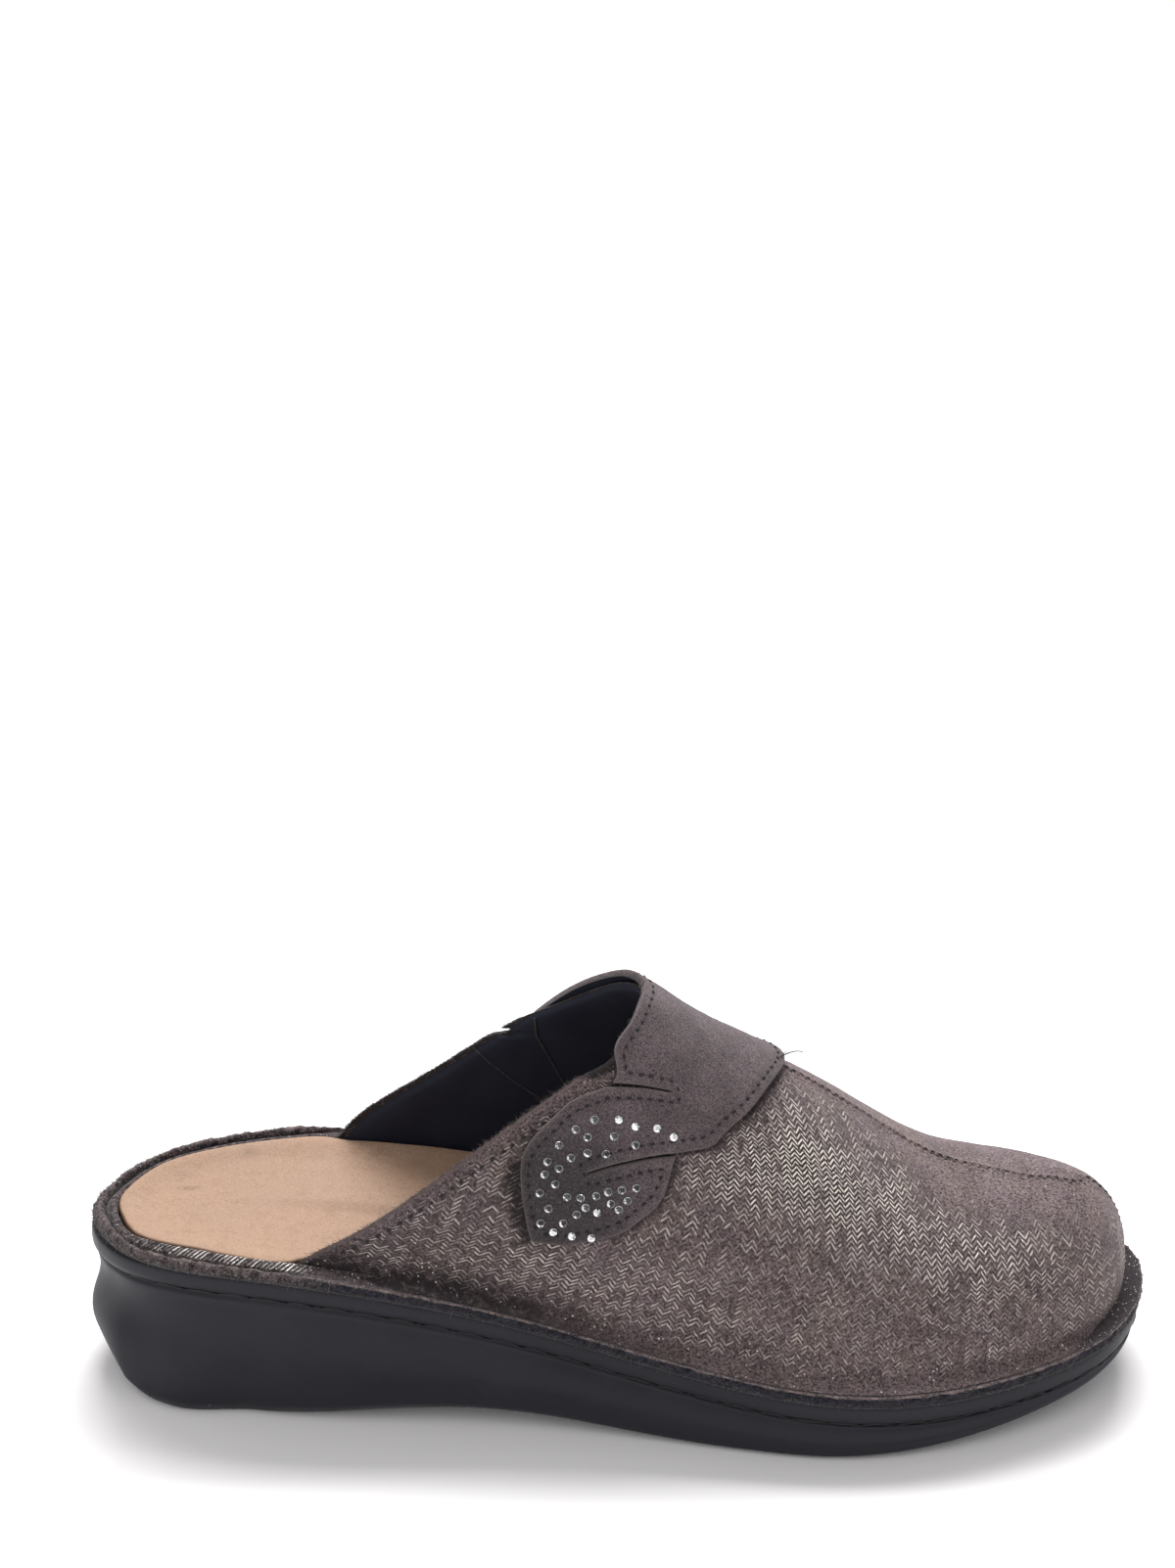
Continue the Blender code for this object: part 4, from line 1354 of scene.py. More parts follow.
# Soft creases, given one by one: start and end on the upper, half width, depth (ridges are negative)
CREASES = (
    # side, start_station, start_girth, end_station, end_girth, half_width, depth
    (-1, 0.168, 0.90, 0.150, 0.52, 0.0050, 0.00045),
    (-1, 0.178, 0.86, 0.170, 0.40, 0.0070, -0.00030),
    (-1, 0.205, 0.80, 0.214, 0.35, 0.0060, 0.00035),
    (-1, 0.224, 0.84, 0.240, 0.30, 0.0060, -0.00030),
    (-1, 0.104, 0.52, 0.101, 0.22, 0.0045, 0.00040),
    (-1, 0.130, 0.28, 0.180, 0.22, 0.0055, 0.00030),
    (1, 0.168, 0.88, 0.150, 0.50, 0.0055, 0.00045),
    (1, 0.196, 0.82, 0.205, 0.38, 0.0060, 0.00035),
    (1, 0.125, 0.45, 0.160, 0.25, 0.0060, -0.00030),
)


def crease_lift(station, signed):
    """Soft troughs and ridges along straight lines on the upper, fading at both ends."""
    lift = np.zeros_like(station)
    for side, start_x, start_girth, end_x, end_girth, width, depth in CREASES:
        ahead = station - start_x
        up = (signed - side * (1 - start_girth)) * GIRTH_LENGTH
        run = np.array([end_x - start_x, side * (start_girth - end_girth) * GIRTH_LENGTH])
        length = np.hypot(*run)
        along = (ahead * run[0] + up * run[1]) / length
        off = (ahead * run[1] - up * run[0]) / length
        ends = window(along, -width, 0.3 * length, 0.7 * length, length + width)
        lift -= depth * hump(off, 0, width) * ends
    return lift


def seam_line():
    """Centre seam on the upper's form: beside the crest on the outer side, then down the toe line."""
    along = np.linspace(SEAM_PATH[0][0], TOE_STATION, 260)
    down = np.linspace(SEAM_PATH[-1][1], SEAM_END_GIRTH, 120)
    crest_part = upper_form(-1, along, from_table(SEAM_PATH, 1, along))
    toe_part = upper_form(-1, np.full_like(down, TOE_STATION), down)
    return evened(np.concatenate([crest_part, toe_part[1:]]), SEAM_LINE_PITCH)


# Patches where the thread print shows more (or less)
PRINT_PATCHES = (
    # station, rise, half_length, half_height, change
    (0.174, 66.0, 0.014, 12.0, 0.50),
    (0.187, 52.0, 0.017, 11.0, 0.42),
    (0.157, 53.0, 0.011, 10.0, 0.30),
    (0.205, 42.0, 0.018, 9.0, 0.20),
    (0.220, 33.0, 0.013, 9.0, 0.22),
    (0.236, 22.0, 0.016, 11.0, 0.14),
    (0.110, 16.0, 0.026, 10.0, 0.10),
    (0.165, 27.0, 0.018, 8.0, -0.08),
    (0.205, 12.0, 0.026, 9.0, -0.10),
    (0.240, 16.0, 0.018, 12.0, -0.10),
)
PRINT_BASE = 0.44

# Relief of the upper, with widths in millimetres
SEAM_GROOVE = 0.00024
SEAM_GROOVE_WIDTH = 0.40
SEAM_RIDGE = 0.00020
SEAM_RIDGE_PLACE = (1.25, 0.75)
SEAM_GROWS = (0.160, 0.168)
WAVE_HEIGHT = 0.00012
WAVE_LENGTH = 42.0
WAVE_GROWS = (2.0, 12.0)
EDGE_ROUNDING = 0.00035
EDGE_ROUNDING_END = 0.0010

# Zones of the upper's looks: signed girths, places from the heel back or ways from an edge
# Painted shade lies under the strap (UNDER_STRAP), along its front edge (STRAP_SHADOW), behind the tab
# (TAB_SHADOW), on the collar's edge under the strap (STRAP_RIM) and at the wall's foot towards the heel
# (REAR_FADES)
BEHIND_STRAP = (-0.345, -0.335, 0.375, 0.385)
UNDER_STRAP = (STRAP[0][0], STRAP[0][0] + 0.012, 0.370, 0.380)
UNDER_REAR_EDGE = (0.0005, 0.0014)
UNDER_FRONT_EDGE = (-0.0014, -0.0005)
STRAP_SHADOW = (-0.0012, 0.0, 0.0003, 0.0026)
TAB_SHADOW = (-0.0012, 0.0, 0.0022, 0.0036)
TAB_SHADOW_GROWS = (0.48, 0.55)
TAB_SHADOW_FADES = (-0.690, -0.660)
INNER_SIDE = (0.36, 0.39)
REAR_FADES = (0.095, 0.160)
TAIL_FADES = (0.085, 0.128)
RAW_EDGE = (0.0004, 0.0016)
INNER_RIM = (0.001, 0.005)
STRAP_RIM = (0.002, 0.004)
COLLAR_GLITTER = (0.006, 0.014)
TOE_GLITTER = (0.200, 0.232)
PRINT_TO_TOE = (0.183, 0.222)
PRINT_FROM_EDGE = (0.0012, 0.0060)

# Heights up the wall of the upper, in millimetres
PRINT_FOOT = (1.0, 6.0)
GLITTER_FADES = (4.0, 20.0)
COLLAR_GLITTER_GROWS = (16.0, 30.0)


def heights_on(base):
    """Way up the wall from the foot and way down from the crest at each place, in millimetres."""
    rows, columns = base.shape[:2]
    middle = columns // 2
    steps = np.linalg.norm(np.diff(base, axis=1), axis=2)
    foot = np.zeros((rows, 1))
    outer = np.concatenate([foot, np.cumsum(steps[:, :middle], axis=1)], axis=1)
    inner = np.concatenate([foot, np.cumsum(steps[:, :middle - 1:-1], axis=1)], axis=1)
    rise = across_crest(outer, inner) / MM
    full = np.where(np.arange(columns) <= middle, outer[:, -1:], inner[:, -1:]) / MM
    return rise, full - rise


def upper_relief(base, station, rise, from_edge):
    """How far the outer face stands off its form: seam, creases, soft waves and a rounded edge."""
    off = distance_to(seam_line(), base.reshape(-1, 3), closed=False).reshape(station.shape) / MM
    seam = SEAM_RIDGE * hump(off, *SEAM_RIDGE_PLACE) - SEAM_GROOVE * hump(off, 0, SEAM_GROOVE_WIDTH)
    lift = seam * smooth_step(station, *SEAM_GROWS) + crease_lift(station, SIGNED_GIRTHS)
    lift += WAVE_HEIGHT * wander(station / MM + rise * 0.4, WAVE_LENGTH, 5) * smooth_step(rise, *WAVE_GROWS)
    lift -= EDGE_ROUNDING * fade(from_edge, 0.0, EDGE_ROUNDING_END)
    lift[-1] = (lift[-1] + lift[-1, ::-1]) / 2
    return lift


def foot_flare(base, normal, rise):
    """Outward turn of the wall's foot over the rim, between the collar's ends and the toe."""
    skirt = 1 - np.clip(rise / FLARE_TOP, 0, 1)
    zone = window(base[..., 0], *FLARE_GROWS, *FLARE_FADES)
    flare = unit(normal * [1, 1, 0], 1e-9) * (FLARE_REACH * zone * skirt ** 2.4)[..., None]
    flare[..., 2] = FLARE_LIFT * zone * skirt ** 2
    return flare


def print_lines(base, rise):
    """Way along the print and height across its rows at each place, in millimetres."""
    x = base[..., 0] / MM
    lean = LEAN_REAR - LEAN_DROP * np.maximum(x - LEAN_DROP_START, 0)
    run = straight(PRINT_RUN, 1, x) - lean * rise + LEAN_BEND * rise ** 3
    threads = rise + ROW_FALL * np.maximum(x - ROW_FALL_START, 0) ** 2
    spread_share = TOP_SPREAD + TOE_SPREAD * smooth_step(x, *TOE_SPREAD_GROWS)
    return run, threads - spread_share * np.maximum(rise - SPREAD_START, 0)


def print_amount(station, rise, below, from_edge):
    """How strongly the thread print shows: in patches, and less at the crest, foot and collar."""
    printed = np.full_like(rise, PRINT_BASE)
    for at, high, long, tall, change in PRINT_PATCHES:
        printed += change * hump(station, at, long) * hump(rise, high, tall)
    to_toe = smooth_step(station, *PRINT_TO_TOE)
    printed *= smooth_step(below, 1.5 + 9 * to_toe, 7 + 20 * to_toe)
    return printed * smooth_step(rise, *PRINT_FOOT) * smooth_step(from_edge, *PRINT_FROM_EDGE)


def strap_shade(station):
    """Dark under the strap, in the shadow along its front edge and in the gap behind the tab."""
    girth = np.clip(SIGNED_GIRTHS, STRAP[0][0], STRAP[-1][0])
    from_rear = station - from_table(STRAP, 1, girth)
    from_front = station - from_table(STRAP, 2, girth)
    tab = smooth_step(-girth, *TAB_SHADOW_GROWS) * smooth_step(SIGNED_GIRTHS, *TAB_SHADOW_FADES)
    across = window(SIGNED_GIRTHS, *UNDER_STRAP)
    covered = smooth_step(from_rear, *UNDER_REAR_EDGE) * fade(from_front, *UNDER_FRONT_EDGE)
    shadow = window(from_front, *STRAP_SHADOW)
    return 1.9 * window(-from_rear, *TAB_SHADOW) * tab + (1.1 * shadow + 1.8 * covered) * across


def upper_looks(base, station, rise, below, from_edge):
    """Values for the upper's material on its outer face, then on its inner face: print, and tone with
    painted shade.
    """
    run, threads = print_lines(base, rise)
    printed = print_amount(station, rise, below, from_edge)
    behind_strap = window(SIGNED_GIRTHS, *BEHIND_STRAP)
    inner_side = smooth_step(SIGNED_GIRTHS, *INNER_SIDE)
    rear = fade(station, *REAR_FADES)
    # Painted shade at the foot of the wall, higher and deeper towards the heel
    dark = fade(rise, 1.0, 5.5 + 7.5 * rear) * (0.08 + 0.68 * rear)
    dark += strap_shade(station)
    dark += inner_side * fade(from_edge, *INNER_RIM)
    # Painted shade on the collar's edge where it runs under the strap
    dark += 1.8 * behind_strap * fade(from_edge, *STRAP_RIM)
    printed *= 1 - 0.85 * np.clip(dark, 0, 1)
    dark += 0.34 * fade(station, *TAIL_FADES)
    glitter = fade(rise, *GLITTER_FADES) * (0.75 + 0.25 * wander(station / MM, 23.0, 8))
    beside_collar = fade(from_edge, *COLLAR_GLITTER) * smooth_step(rise, *COLLAR_GLITTER_GROWS)
    glitter += 0.35 * beside_collar
    glitter += 0.30 * smooth_step(station, *TOE_GLITTER)
    raw = fade(from_edge, *RAW_EDGE) * (1 - behind_strap) * (1 - 0.9 * inner_side)
    weave = np.stack([run, threads, np.clip(printed, 0, 1)], -1).reshape(-1, 3)
    tone = np.stack([np.clip(dark, 0, 2), np.clip(glitter, 0, 1), 0.8 * raw], -1).reshape(-1, 3)
    shown = 0.9 * (1 - np.maximum(behind_strap, inner_side))
    # Inner face: painted shade under the strap, darker along the inner side, raw colour elsewhere
    back = np.column_stack([2.0 * behind_strap + 1.3 * inner_side, np.zeros_like(shown), shown])
    return {
        "weave": np.concatenate([weave, weave * [1, 1, 0]]),
        "tone": np.concatenate([tone, np.tile(back, (len(rise), 1))]),
    }


def make_upper(material):
    base, normal, station, from_edge = shell_grid(collar_start, UPPER_SPREAD)
    rise, below = heights_on(base)
    flare = foot_flare(base, normal, rise)
    outer = base + normal * upper_relief(base, station, rise, from_edge)[..., None] + flare
    inner = base - normal * (SKIN_WALL * wall_share(from_edge))[..., None] + flare
    points = np.concatenate([outer.reshape(-1, 3), inner.reshape(-1, 3)])
    looks = upper_looks(base, station, rise, below, from_edge)
    points, faces, looks = keep_used(points, shell_faces(*station.shape), looks)
    add_piece("upper_skin", points, faces, [material], looks, replaces="upper")
    return outer, inner, normal


LINING_EDGE_END = 0.006
LINING_EDGE = 0.35


def make_lining(material):
    base, normal, station, from_edge = shell_grid(lining_start, LINING_SPREAD)
    top = LINING_TOP * wall_share(from_edge + LINING_START)[..., None]
    full = LINING_EDGE + (1 - LINING_EDGE) * smooth_step(LINING_SPREAD, 0.0, LINING_EDGE_END)[:, None, None]
    outer = base - normal * top
    inner = base - normal * (top + (LINING_BACK - LINING_TOP) * full)
    points = np.concatenate([outer.reshape(-1, 3), inner.reshape(-1, 3)])
    points, faces, _ = keep_used(points, shell_faces(*station.shape), {})
    return add_piece("lining", points, faces, [material])


# Strap


def strap_outline():
    """Closed line round the strap in (station, signed girth), slits included."""
    girths = np.linspace(STRAP[0][0], STRAP[-1][0], 260)
    rear = np.column_stack([from_table(STRAP, 1, girths), girths])
    front = np.column_stack([from_table(STRAP, 2, girths), girths])

    def slit(line, mouth_girth, tip_girth, tip_x, half_mouth):
        below = line[line[:, 1] < mouth_girth - half_mouth]
        above = line[line[:, 1] > mouth_girth + half_mouth]
        turn = np.linspace(-0.5, 0.5, 9) * np.pi
        away = np.sign(line[0, 0] - tip_x)
        tip = np.column_stack([tip_x - away * SLIT_TIP_GIRTH * GIRTH_LENGTH * np.cos(turn),
                               tip_girth + SLIT_TIP_GIRTH * np.sin(turn)])
        share = np.linspace(0, 1, 30)[1:-1, None]
        going = below[-1] + (tip[0] - below[-1]) * share
        coming = tip[-1] + (above[0] - tip[-1]) * share
        return np.concatenate([below, going, tip, coming, above])

    rear = slit(rear, *UPPER_SLIT)
    front = slit(front, *LOWER_SLIT)
    top = np.linspace(rear[-1], front[-1], 40)[1:-1]
    bottom = np.linspace(front[0], rear[0], 12)[1:-1]
    return np.concatenate([rear, top, front[::-1], bottom])


def evened(line, pitch, closed=False):
    """The line again, with points at an even pitch."""
    if closed:
        line = np.vstack([line, line[:1]])
    run = run_along(line)
    made = at_run(np.linspace(0, run[-1], max(int(run[-1] / pitch), 2) + 1), run, line)
    return made[:-1] if closed else made


def distance_to(line, points, closed=True):
    """Distance from each point to a line of short steps."""
    ahead = np.roll(line, -1, axis=0) - line if closed else np.diff(line, axis=0)
    size = np.maximum((ahead ** 2).sum(1), 1e-18)
    best = np.full(len(points), np.inf)
    for start, step, length in zip(line, ahead, size):
        share = np.clip(((points - start) @ step) / length, 0, 1)
        best = np.minimum(best, np.linalg.norm(points - start - share[:, None] * step, axis=1))
    return best


def inward(line):
    """Unit normals of a closed line, turned to its inner side."""
    along = unit(np.roll(line, -1, axis=0) - np.roll(line, 1, axis=0))
    turned = np.column_stack([-along[:, 1], along[:, 0]])
    area = np.sum(line[:, 0] * np.roll(line[:, 1], -1) - line[:, 1] * np.roll(line[:, 0], -1))
    return turned * np.sign(area)


TAB_RISE = 0.0019
TAB_RISE_END = 0.010
TAB_LOOSE = (0.39, 0.50)
LIP_RISE = 0.00035
LIP_GIRTHS = (0.26, 0.33, 0.345, 0.36)
STRAP_LINE_PITCH = 0.0005
STRAP_LAYERS = (
    # depths of the lines that follow the strap's edge, closer at its rounding and at its stitches
    0.00010, 0.00022, 0.0004, 0.0008, 0.0012, 0.0015, 0.0017, 0.0019, 0.0021, 0.0025, 0.0031,
)
STRAP_NET = 0.0012
STRAP_NET_ROW = 0.87
STRAP_NET_START = 0.0042
TRUE_DEPTH = 0.96
STRAP_GROOVE_WIDTH = 0.00034
STRAP_PUFF = 0.00012
STRAP_PUFF_GROWS = (0.001, 0.004)
STRAP_RIM_FADES = (0.0001, 0.0007)
TAB_DARKENS = (0.38, 0.52)
TAB_DARK_FADES = (0.122, 0.142)


def tab_rise(station, signed):
    """How far the loose tab stands off the upper, most at its rear edge."""
    near_edge = fade(station - from_table(STRAP, 1, signed), 0.0, TAB_RISE_END)
    tab = TAB_RISE * smooth_step(-signed, *TAB_LOOSE)
    lip = LIP_RISE * window(-signed, *LIP_GIRTHS)
    return near_edge * (tab + lip)


def strap_net(line):
    """Flat points and triangles of the strap: lines along its edge and an even net inside."""
    turned = inward(line)
    layers = [line]
    for depth in STRAP_LAYERS:
        moved = line + turned * depth
        layers.append(moved[distance_to(line, moved) > TRUE_DEPTH * depth])
    low = line.min(axis=0)
    high = line.max(axis=0)
    columns = np.arange(low[0], high[0], STRAP_NET)
    net_x, net_y = np.meshgrid(columns, np.arange(low[1], high[1], STRAP_NET * STRAP_NET_ROW))
    net_x = net_x + (np.arange(net_x.shape[0]) % 2)[:, None] * STRAP_NET / 2
    net = np.column_stack([net_x.ravel(), net_y.ravel()])
    flat = np.concatenate(layers + [net[distance_to(line, net) > STRAP_NET_START]])
    loop = list(range(len(line)))
    result = delaunay_2d_cdt([Vector(point) for point in (flat * 1000).tolist()], [], [loop], 1, 1e-5)
    flat = np.array([tuple(point) for point in result[0]]) / 1000
    flat, triangles, _ = keep_used(flat, [list(face) for face in result[2]], {})
    return flat, triangles


def rim_sides(triangles):
    """Sides that belong to one triangle only."""
    sides = {}
    for face in triangles:
        for a, b in zip(face, face[1:] + face[:1]):
            if (b, a) in sides:
                del sides[(b, a)]
            else:
                sides[(a, b)] = True
    return list(sides)


def make_strap(material, under_material):
    line = evened(strap_outline() * [1, GIRTH_LENGTH], STRAP_LINE_PITCH, closed=True)
    flat, triangles = strap_net(line)
    depth = distance_to(line, flat)
    station = flat[:, 0]
    signed = flat[:, 1] / GIRTH_LENGTH
    stand = STRAP_LIFT + tab_rise(station, signed)
    rounded = STRAP_ROUNDING - np.minimum(depth, STRAP_ROUNDING)
    top = STRAP_THICKNESS - STRAP_ROUNDING + np.sqrt(STRAP_ROUNDING ** 2 - rounded ** 2)
    groove = hump(depth, STRAP_STITCH_INSET, STRAP_GROOVE_WIDTH)
    puff = STRAP_PUFF * wander(station / MM + signed * 60, 17.0, 21) * smooth_step(depth, *STRAP_PUFF_GROWS)
    over = over_crest(station, signed, stand + top - STRAP_GROOVE * groove + puff)
    under = over_crest(station, signed, stand)
    count = len(flat)
    sides = rim_sides(triangles)
    faces = triangles + [[count + corner for corner in face[::-1]] for face in triangles]
    faces += [[b, a, count + a, count + b] for a, b in sides]
    face_materials = [0] * len(triangles) + [1] * len(triangles) + [0] * len(sides)
    rim = fade(depth, *STRAP_RIM_FADES)
    tab = smooth_step(-signed, *TAB_DARKENS) * fade(station, *TAB_DARK_FADES)
    # Tone: a browner cut edge, painted shade in the stitch groove, a darker tab
    tone = np.column_stack([rim * 0.45, 0.18 * groove, tab])
    # Full painted shade at the strap's underside corners, so its cut edge darkens towards the upper
    under_tone = np.tile([0.0, 1.0, 0.0], (count, 1))
    piece = add_piece("strap_skin", np.concatenate([over, under]), faces,
                      [material, under_material], {"tone": np.concatenate([tone, under_tone])}, sharp=60,
                      replaces="strap", face_materials=face_materials)
    return piece, line


# Pitch, length and radius of the strap's dashes, and fineness of the line that they follow
STRAP_DASH = (0.0025, 0.00115, 0.00032)
STITCH_LINE_PITCH = 0.00012
STITCH_RUN_PITCH = 0.0004
STITCH_RUN_BREAK = 0.006
STITCH_TRUE_INSET = 0.985


def strap_stitches(material):
    """Dashes along the strap's edges and round both slits."""
    line = evened(strap_outline() * [1, GIRTH_LENGTH], STITCH_LINE_PITCH, closed=True)
    moved = line + inward(line) * STRAP_STITCH_INSET
    good = distance_to(line[::3], moved) > STITCH_TRUE_INSET * STRAP_STITCH_INSET
    first = np.where(~good)[0][0]
    path = np.roll(moved, -first, axis=0)[np.roll(good, -first)]
    breaks = np.where(np.linalg.norm(np.diff(path, axis=0), axis=1) > STITCH_RUN_BREAK)[0] + 1
    parts = []
    for number, run in enumerate(np.split(path, breaks)):
        even = evened(run, STITCH_RUN_PITCH)
        station = even[:, 0]
        signed = even[:, 1] / GIRTH_LENGTH
        height = STRAP_LIFT + tab_rise(station, signed) + STRAP_THICKNESS - STRAP_GROOVE
        places = over_crest(station, signed, height)
        ups = unit(over_crest(station, signed, height + MM) - places)
        parts += stitch_row(places, ups, *STRAP_DASH, 100 + number)
    add_threads("strap_stitches", parts, material)


# Camera rays


def camera_axes():
    forward = np.array([np.sin(CAMERA_YAW) * np.cos(CAMERA_PITCH),
                        np.cos(CAMERA_YAW) * np.cos(CAMERA_PITCH), -np.sin(CAMERA_PITCH)])
    right = np.array([np.cos(CAMERA_YAW), -np.sin(CAMERA_YAW), 0.0])
    return right, np.cross(right, forward), forward


def pixel_ray(pixel):
    right, up, forward = camera_axes()
    across = (pixel[0] - PHOTO_SIZE[0] / 2) / FOCAL_PIXELS
    down = (pixel[1] - PHOTO_SIZE[1] / 2) / FOCAL_PIXELS
    ray = forward + right * across - up * down
    return Vector(ray / np.linalg.norm(ray))


def pixel_at_height(pixel, height):
    """Place where the ray of a pixel comes down to the given height."""
    ray = np.array(pixel_ray(pixel))
    return np.array(CAMERA_PLACE) + ray * (height - CAMERA_PLACE[2]) / ray[2]


def hits(piece, pixels):
    """Number of each pixel whose ray meets the piece, with the place and the normal towards the camera."""
    mesh = piece.data
    corners = [tuple(vertex.co) for vertex in mesh.vertices]
    tree = BVHTree.FromPolygons(corners, [tuple(face.vertices) for face in mesh.polygons])
    found = []
    for number, pixel in enumerate(pixels):
        ray = pixel_ray(pixel)
        place, normal, _, _ = tree.ray_cast(Vector(CAMERA_PLACE), ray)
        if place is not None:
            facing = -1 if normal.dot(ray) > 0 else 1
            found.append((number, np.array(place) - FRAME_SHIFT, np.array(normal) * facing))
    return found


STONE_PROFILE = (
    # radius and height, in stone radii: foot, girdle, crown and the rim of the flat top
    (1.00, -0.18),
    (1.03, 0.14),
    (0.90, 0.34),
    (0.52, 0.50),
    (0.44, 0.50),
)
STONE_SIDES = 12
STONE_TILT = 0.05
FACET, TABLE, GLINT = range(3)


def facet_material(bright, level, catches, draw):
    """Material of one facet: painted glints where it turns to the light, a pale facet or a painted dark
    reflection elsewhere.
    """
    if bright:
        return GLINT if catches > -0.1 or draw.uniform() > 0.7 else draw.integers(FACET, GLINT)
    if level < 2:
        return GLINT if level == 1 and catches > 0.30 else FACET
    return FACET if catches > 0.45 and draw.uniform() > 0.3 else TABLE


def make_stones(strap, materials):
    """Faceted stones set on the tab: a low crown round a small flat top, with painted glints and, on most
    stones, a top painted dark.
    """
    draw = np.random.default_rng(4)
    points = []
    faces = []
    chosen = []
    right, up, _ = camera_axes()
    for number, place, normal in hits(strap, STONE_PIXELS):
        tilt = unit(normal + draw.normal(0, STONE_TILT, 3))
        across = unit(np.cross(tilt, [0.0, 0.0, 1.0]))
        over = np.cross(tilt, across)
        turn = np.linspace(0, 2 * np.pi, STONE_SIDES, endpoint=False) + draw.uniform(0, 1)
        index = numbered(len(STONE_PROFILE), STONE_SIDES, first=len(points))
        for size, height in STONE_PROFILE:
            for angle in turn:
                spoke = across * np.cos(angle) + over * np.sin(angle)
                points.append(place + (spoke * size + tilt * height) * STONE_RADIUS)
        bright = number in BRIGHT_STONES
        # Way across each stone, towards the lower left as the camera sees it, where facets get painted
        # glints; turned a little on each stone
        aim = draw.normal(0, 0.25) + 0.6
        light_way = -right * np.cos(aim) - up * np.sin(aim)
        for level in range(len(STONE_PROFILE) - 1):
            for k in range(STONE_SIDES):
                n = (k + 1) % STONE_SIDES
                faces.append([index[level, k], index[level, n], index[level + 1, n], index[level + 1, k]])
                middle = turn[k] + np.pi / STONE_SIDES
                spoke = across * np.cos(middle) + over * np.sin(middle)
                chosen.append(facet_material(bright, level, spoke @ light_way, draw))
        faces += [index[-1].tolist(), index[0].tolist()]
        chosen += [FACET if bright else TABLE, FACET]
    add_piece("stones", np.array(points), faces, materials, sharp=8, face_materials=chosen)


# Seams, threads and fuzz

# Dashes: pitch, length, radius
SEAM_DASH = (0.0021, 0.00120, 0.00017)
COLLAR_DASH = (0.0030, 0.00110, 0.00040)
WELT_DASH = (0.0082, 0.0081, 0.00034)
GUSSET_DASH = (0.0025, 0.0015, 0.00024)
SEAM_STITCH_START = 0.1705
SEAM_STITCH_LIFT = 0.00010
SEAM_STITCH_ROWS = (
    # shift off the seam, start of the first dash
    (-0.00072, 0.0),
    (0.00072, 0.0011),
)
COLLAR_STITCH_INSET = 0.0030
COLLAR_STITCH_LIFT = 0.00005
COLLAR_STITCH_GIRTHS = {1: (0.05, 0.655), 2: (0.05, 0.60)}


def centre_seam_stitches(outer, normal, material):
    """Two rows of dashes, one on each side of the centre seam."""
    line = seam_line()
    line = line[line[:, 0] > SEAM_STITCH_START]
    places = outer.reshape(-1, 3)
    nearest = [int(np.argmin(((places - point) ** 2).sum(1))) for point in line]
    ups = normal.reshape(-1, 3)[nearest]
    across = unit(np.cross(directions(line), ups))
    parts = []
    for number, (shift, begin) in enumerate(SEAM_STITCH_ROWS):
        row = line + across * shift + ups * SEAM_STITCH_LIFT
        parts += stitch_row(row, ups, *SEAM_DASH, 300 + number, begin)
    add_threads("centre_seam_stitches", parts, material)


def face_line(side, station, girth, lift):
    """Places on the upper at a lift off its face, and the directions off the face there."""
    places = upper_point(side, station, girth, np.full(len(station), lift))
    above = upper_point(side, station, girth, np.full(len(station), lift + MM))
    return places, unit(above - places)


def collar_stitches(material):
    """One row of dashes on each side, at an inset from the collar."""
    parts = []
    for number, (side, index) in enumerate(BOTH_SIDES):
        girths = np.linspace(*COLLAR_STITCH_GIRTHS[index], COLLAR_SAMPLES)
        flat = np.column_stack([from_table(COLLAR, index, girths), girths * GIRTH_LENGTH])
        along = directions(flat)
        moved = flat + np.column_stack([along[:, 1], -along[:, 0]]) * COLLAR_STITCH_INSET
        girth = np.clip(moved[:, 1] / GIRTH_LENGTH, 0.002, 0.998)
        places, ups = face_line(side, moved[:, 0], girth, COLLAR_STITCH_LIFT)
        parts += stitch_row(places, ups, *COLLAR_DASH, 400 + number)
    add_threads("collar_stitches", parts, material)


# Hairs of the collar: how many, the signed girths outside which they stand, root depth and radius
COLLAR_HAIRS = 6000
COLLAR_HAIR_GIRTHS = (-0.335, 0.37)
COLLAR_HAIR_ROOT = 0.0002
COLLAR_HAIR_RADIUS = 0.000055


def collar_fuzz(outer, inner, normal, materials):
    """Hairs on the raw edge of the collar, outside the strap: one piece for each side."""
    draw = np.random.default_rng(51)
    run = run_along(outer[0])
    at = draw.uniform(0, run[-1], COLLAR_HAIRS)
    signed = np.interp(at, run, SIGNED_GIRTHS)
    bare = (signed < COLLAR_HAIR_GIRTHS[0]) | (signed > COLLAR_HAIR_GIRTHS[1])
    at = at[bare]
    outer_side = signed[bare] < 0
    count = len(at)
    depth = draw.uniform(0, 1, count)
    out_place = at_run(at, run, outer[0])
    roots = out_place + (at_run(at, run, inner[0]) - out_place) * depth[:, None]
    back = at_run(at, run, unit(outer[0] - outer[5]))
    face = at_run(at, run, normal[0])
    way = back * 0.8 + face * draw.normal(0.1, 0.6, count)[:, None] + draw.normal(0, 0.45, (count, 3))
    way = unit(way)
    lengths = draw.gamma(2.2, 0.00024, count).clip(0.0002, 0.0016) + COLLAR_HAIR_ROOT
    roots = roots - way * COLLAR_HAIR_ROOT
    names = ("collar_fuzz", "collar_fuzz_inner")
    for name, chosen, material in zip(names, (outer_side, ~outer_side), materials):
        points, faces = fibre_field(roots[chosen], way[chosen], lengths[chosen], COLLAR_HAIR_RADIUS, 52)
        add_piece(name, points, faces, [material])


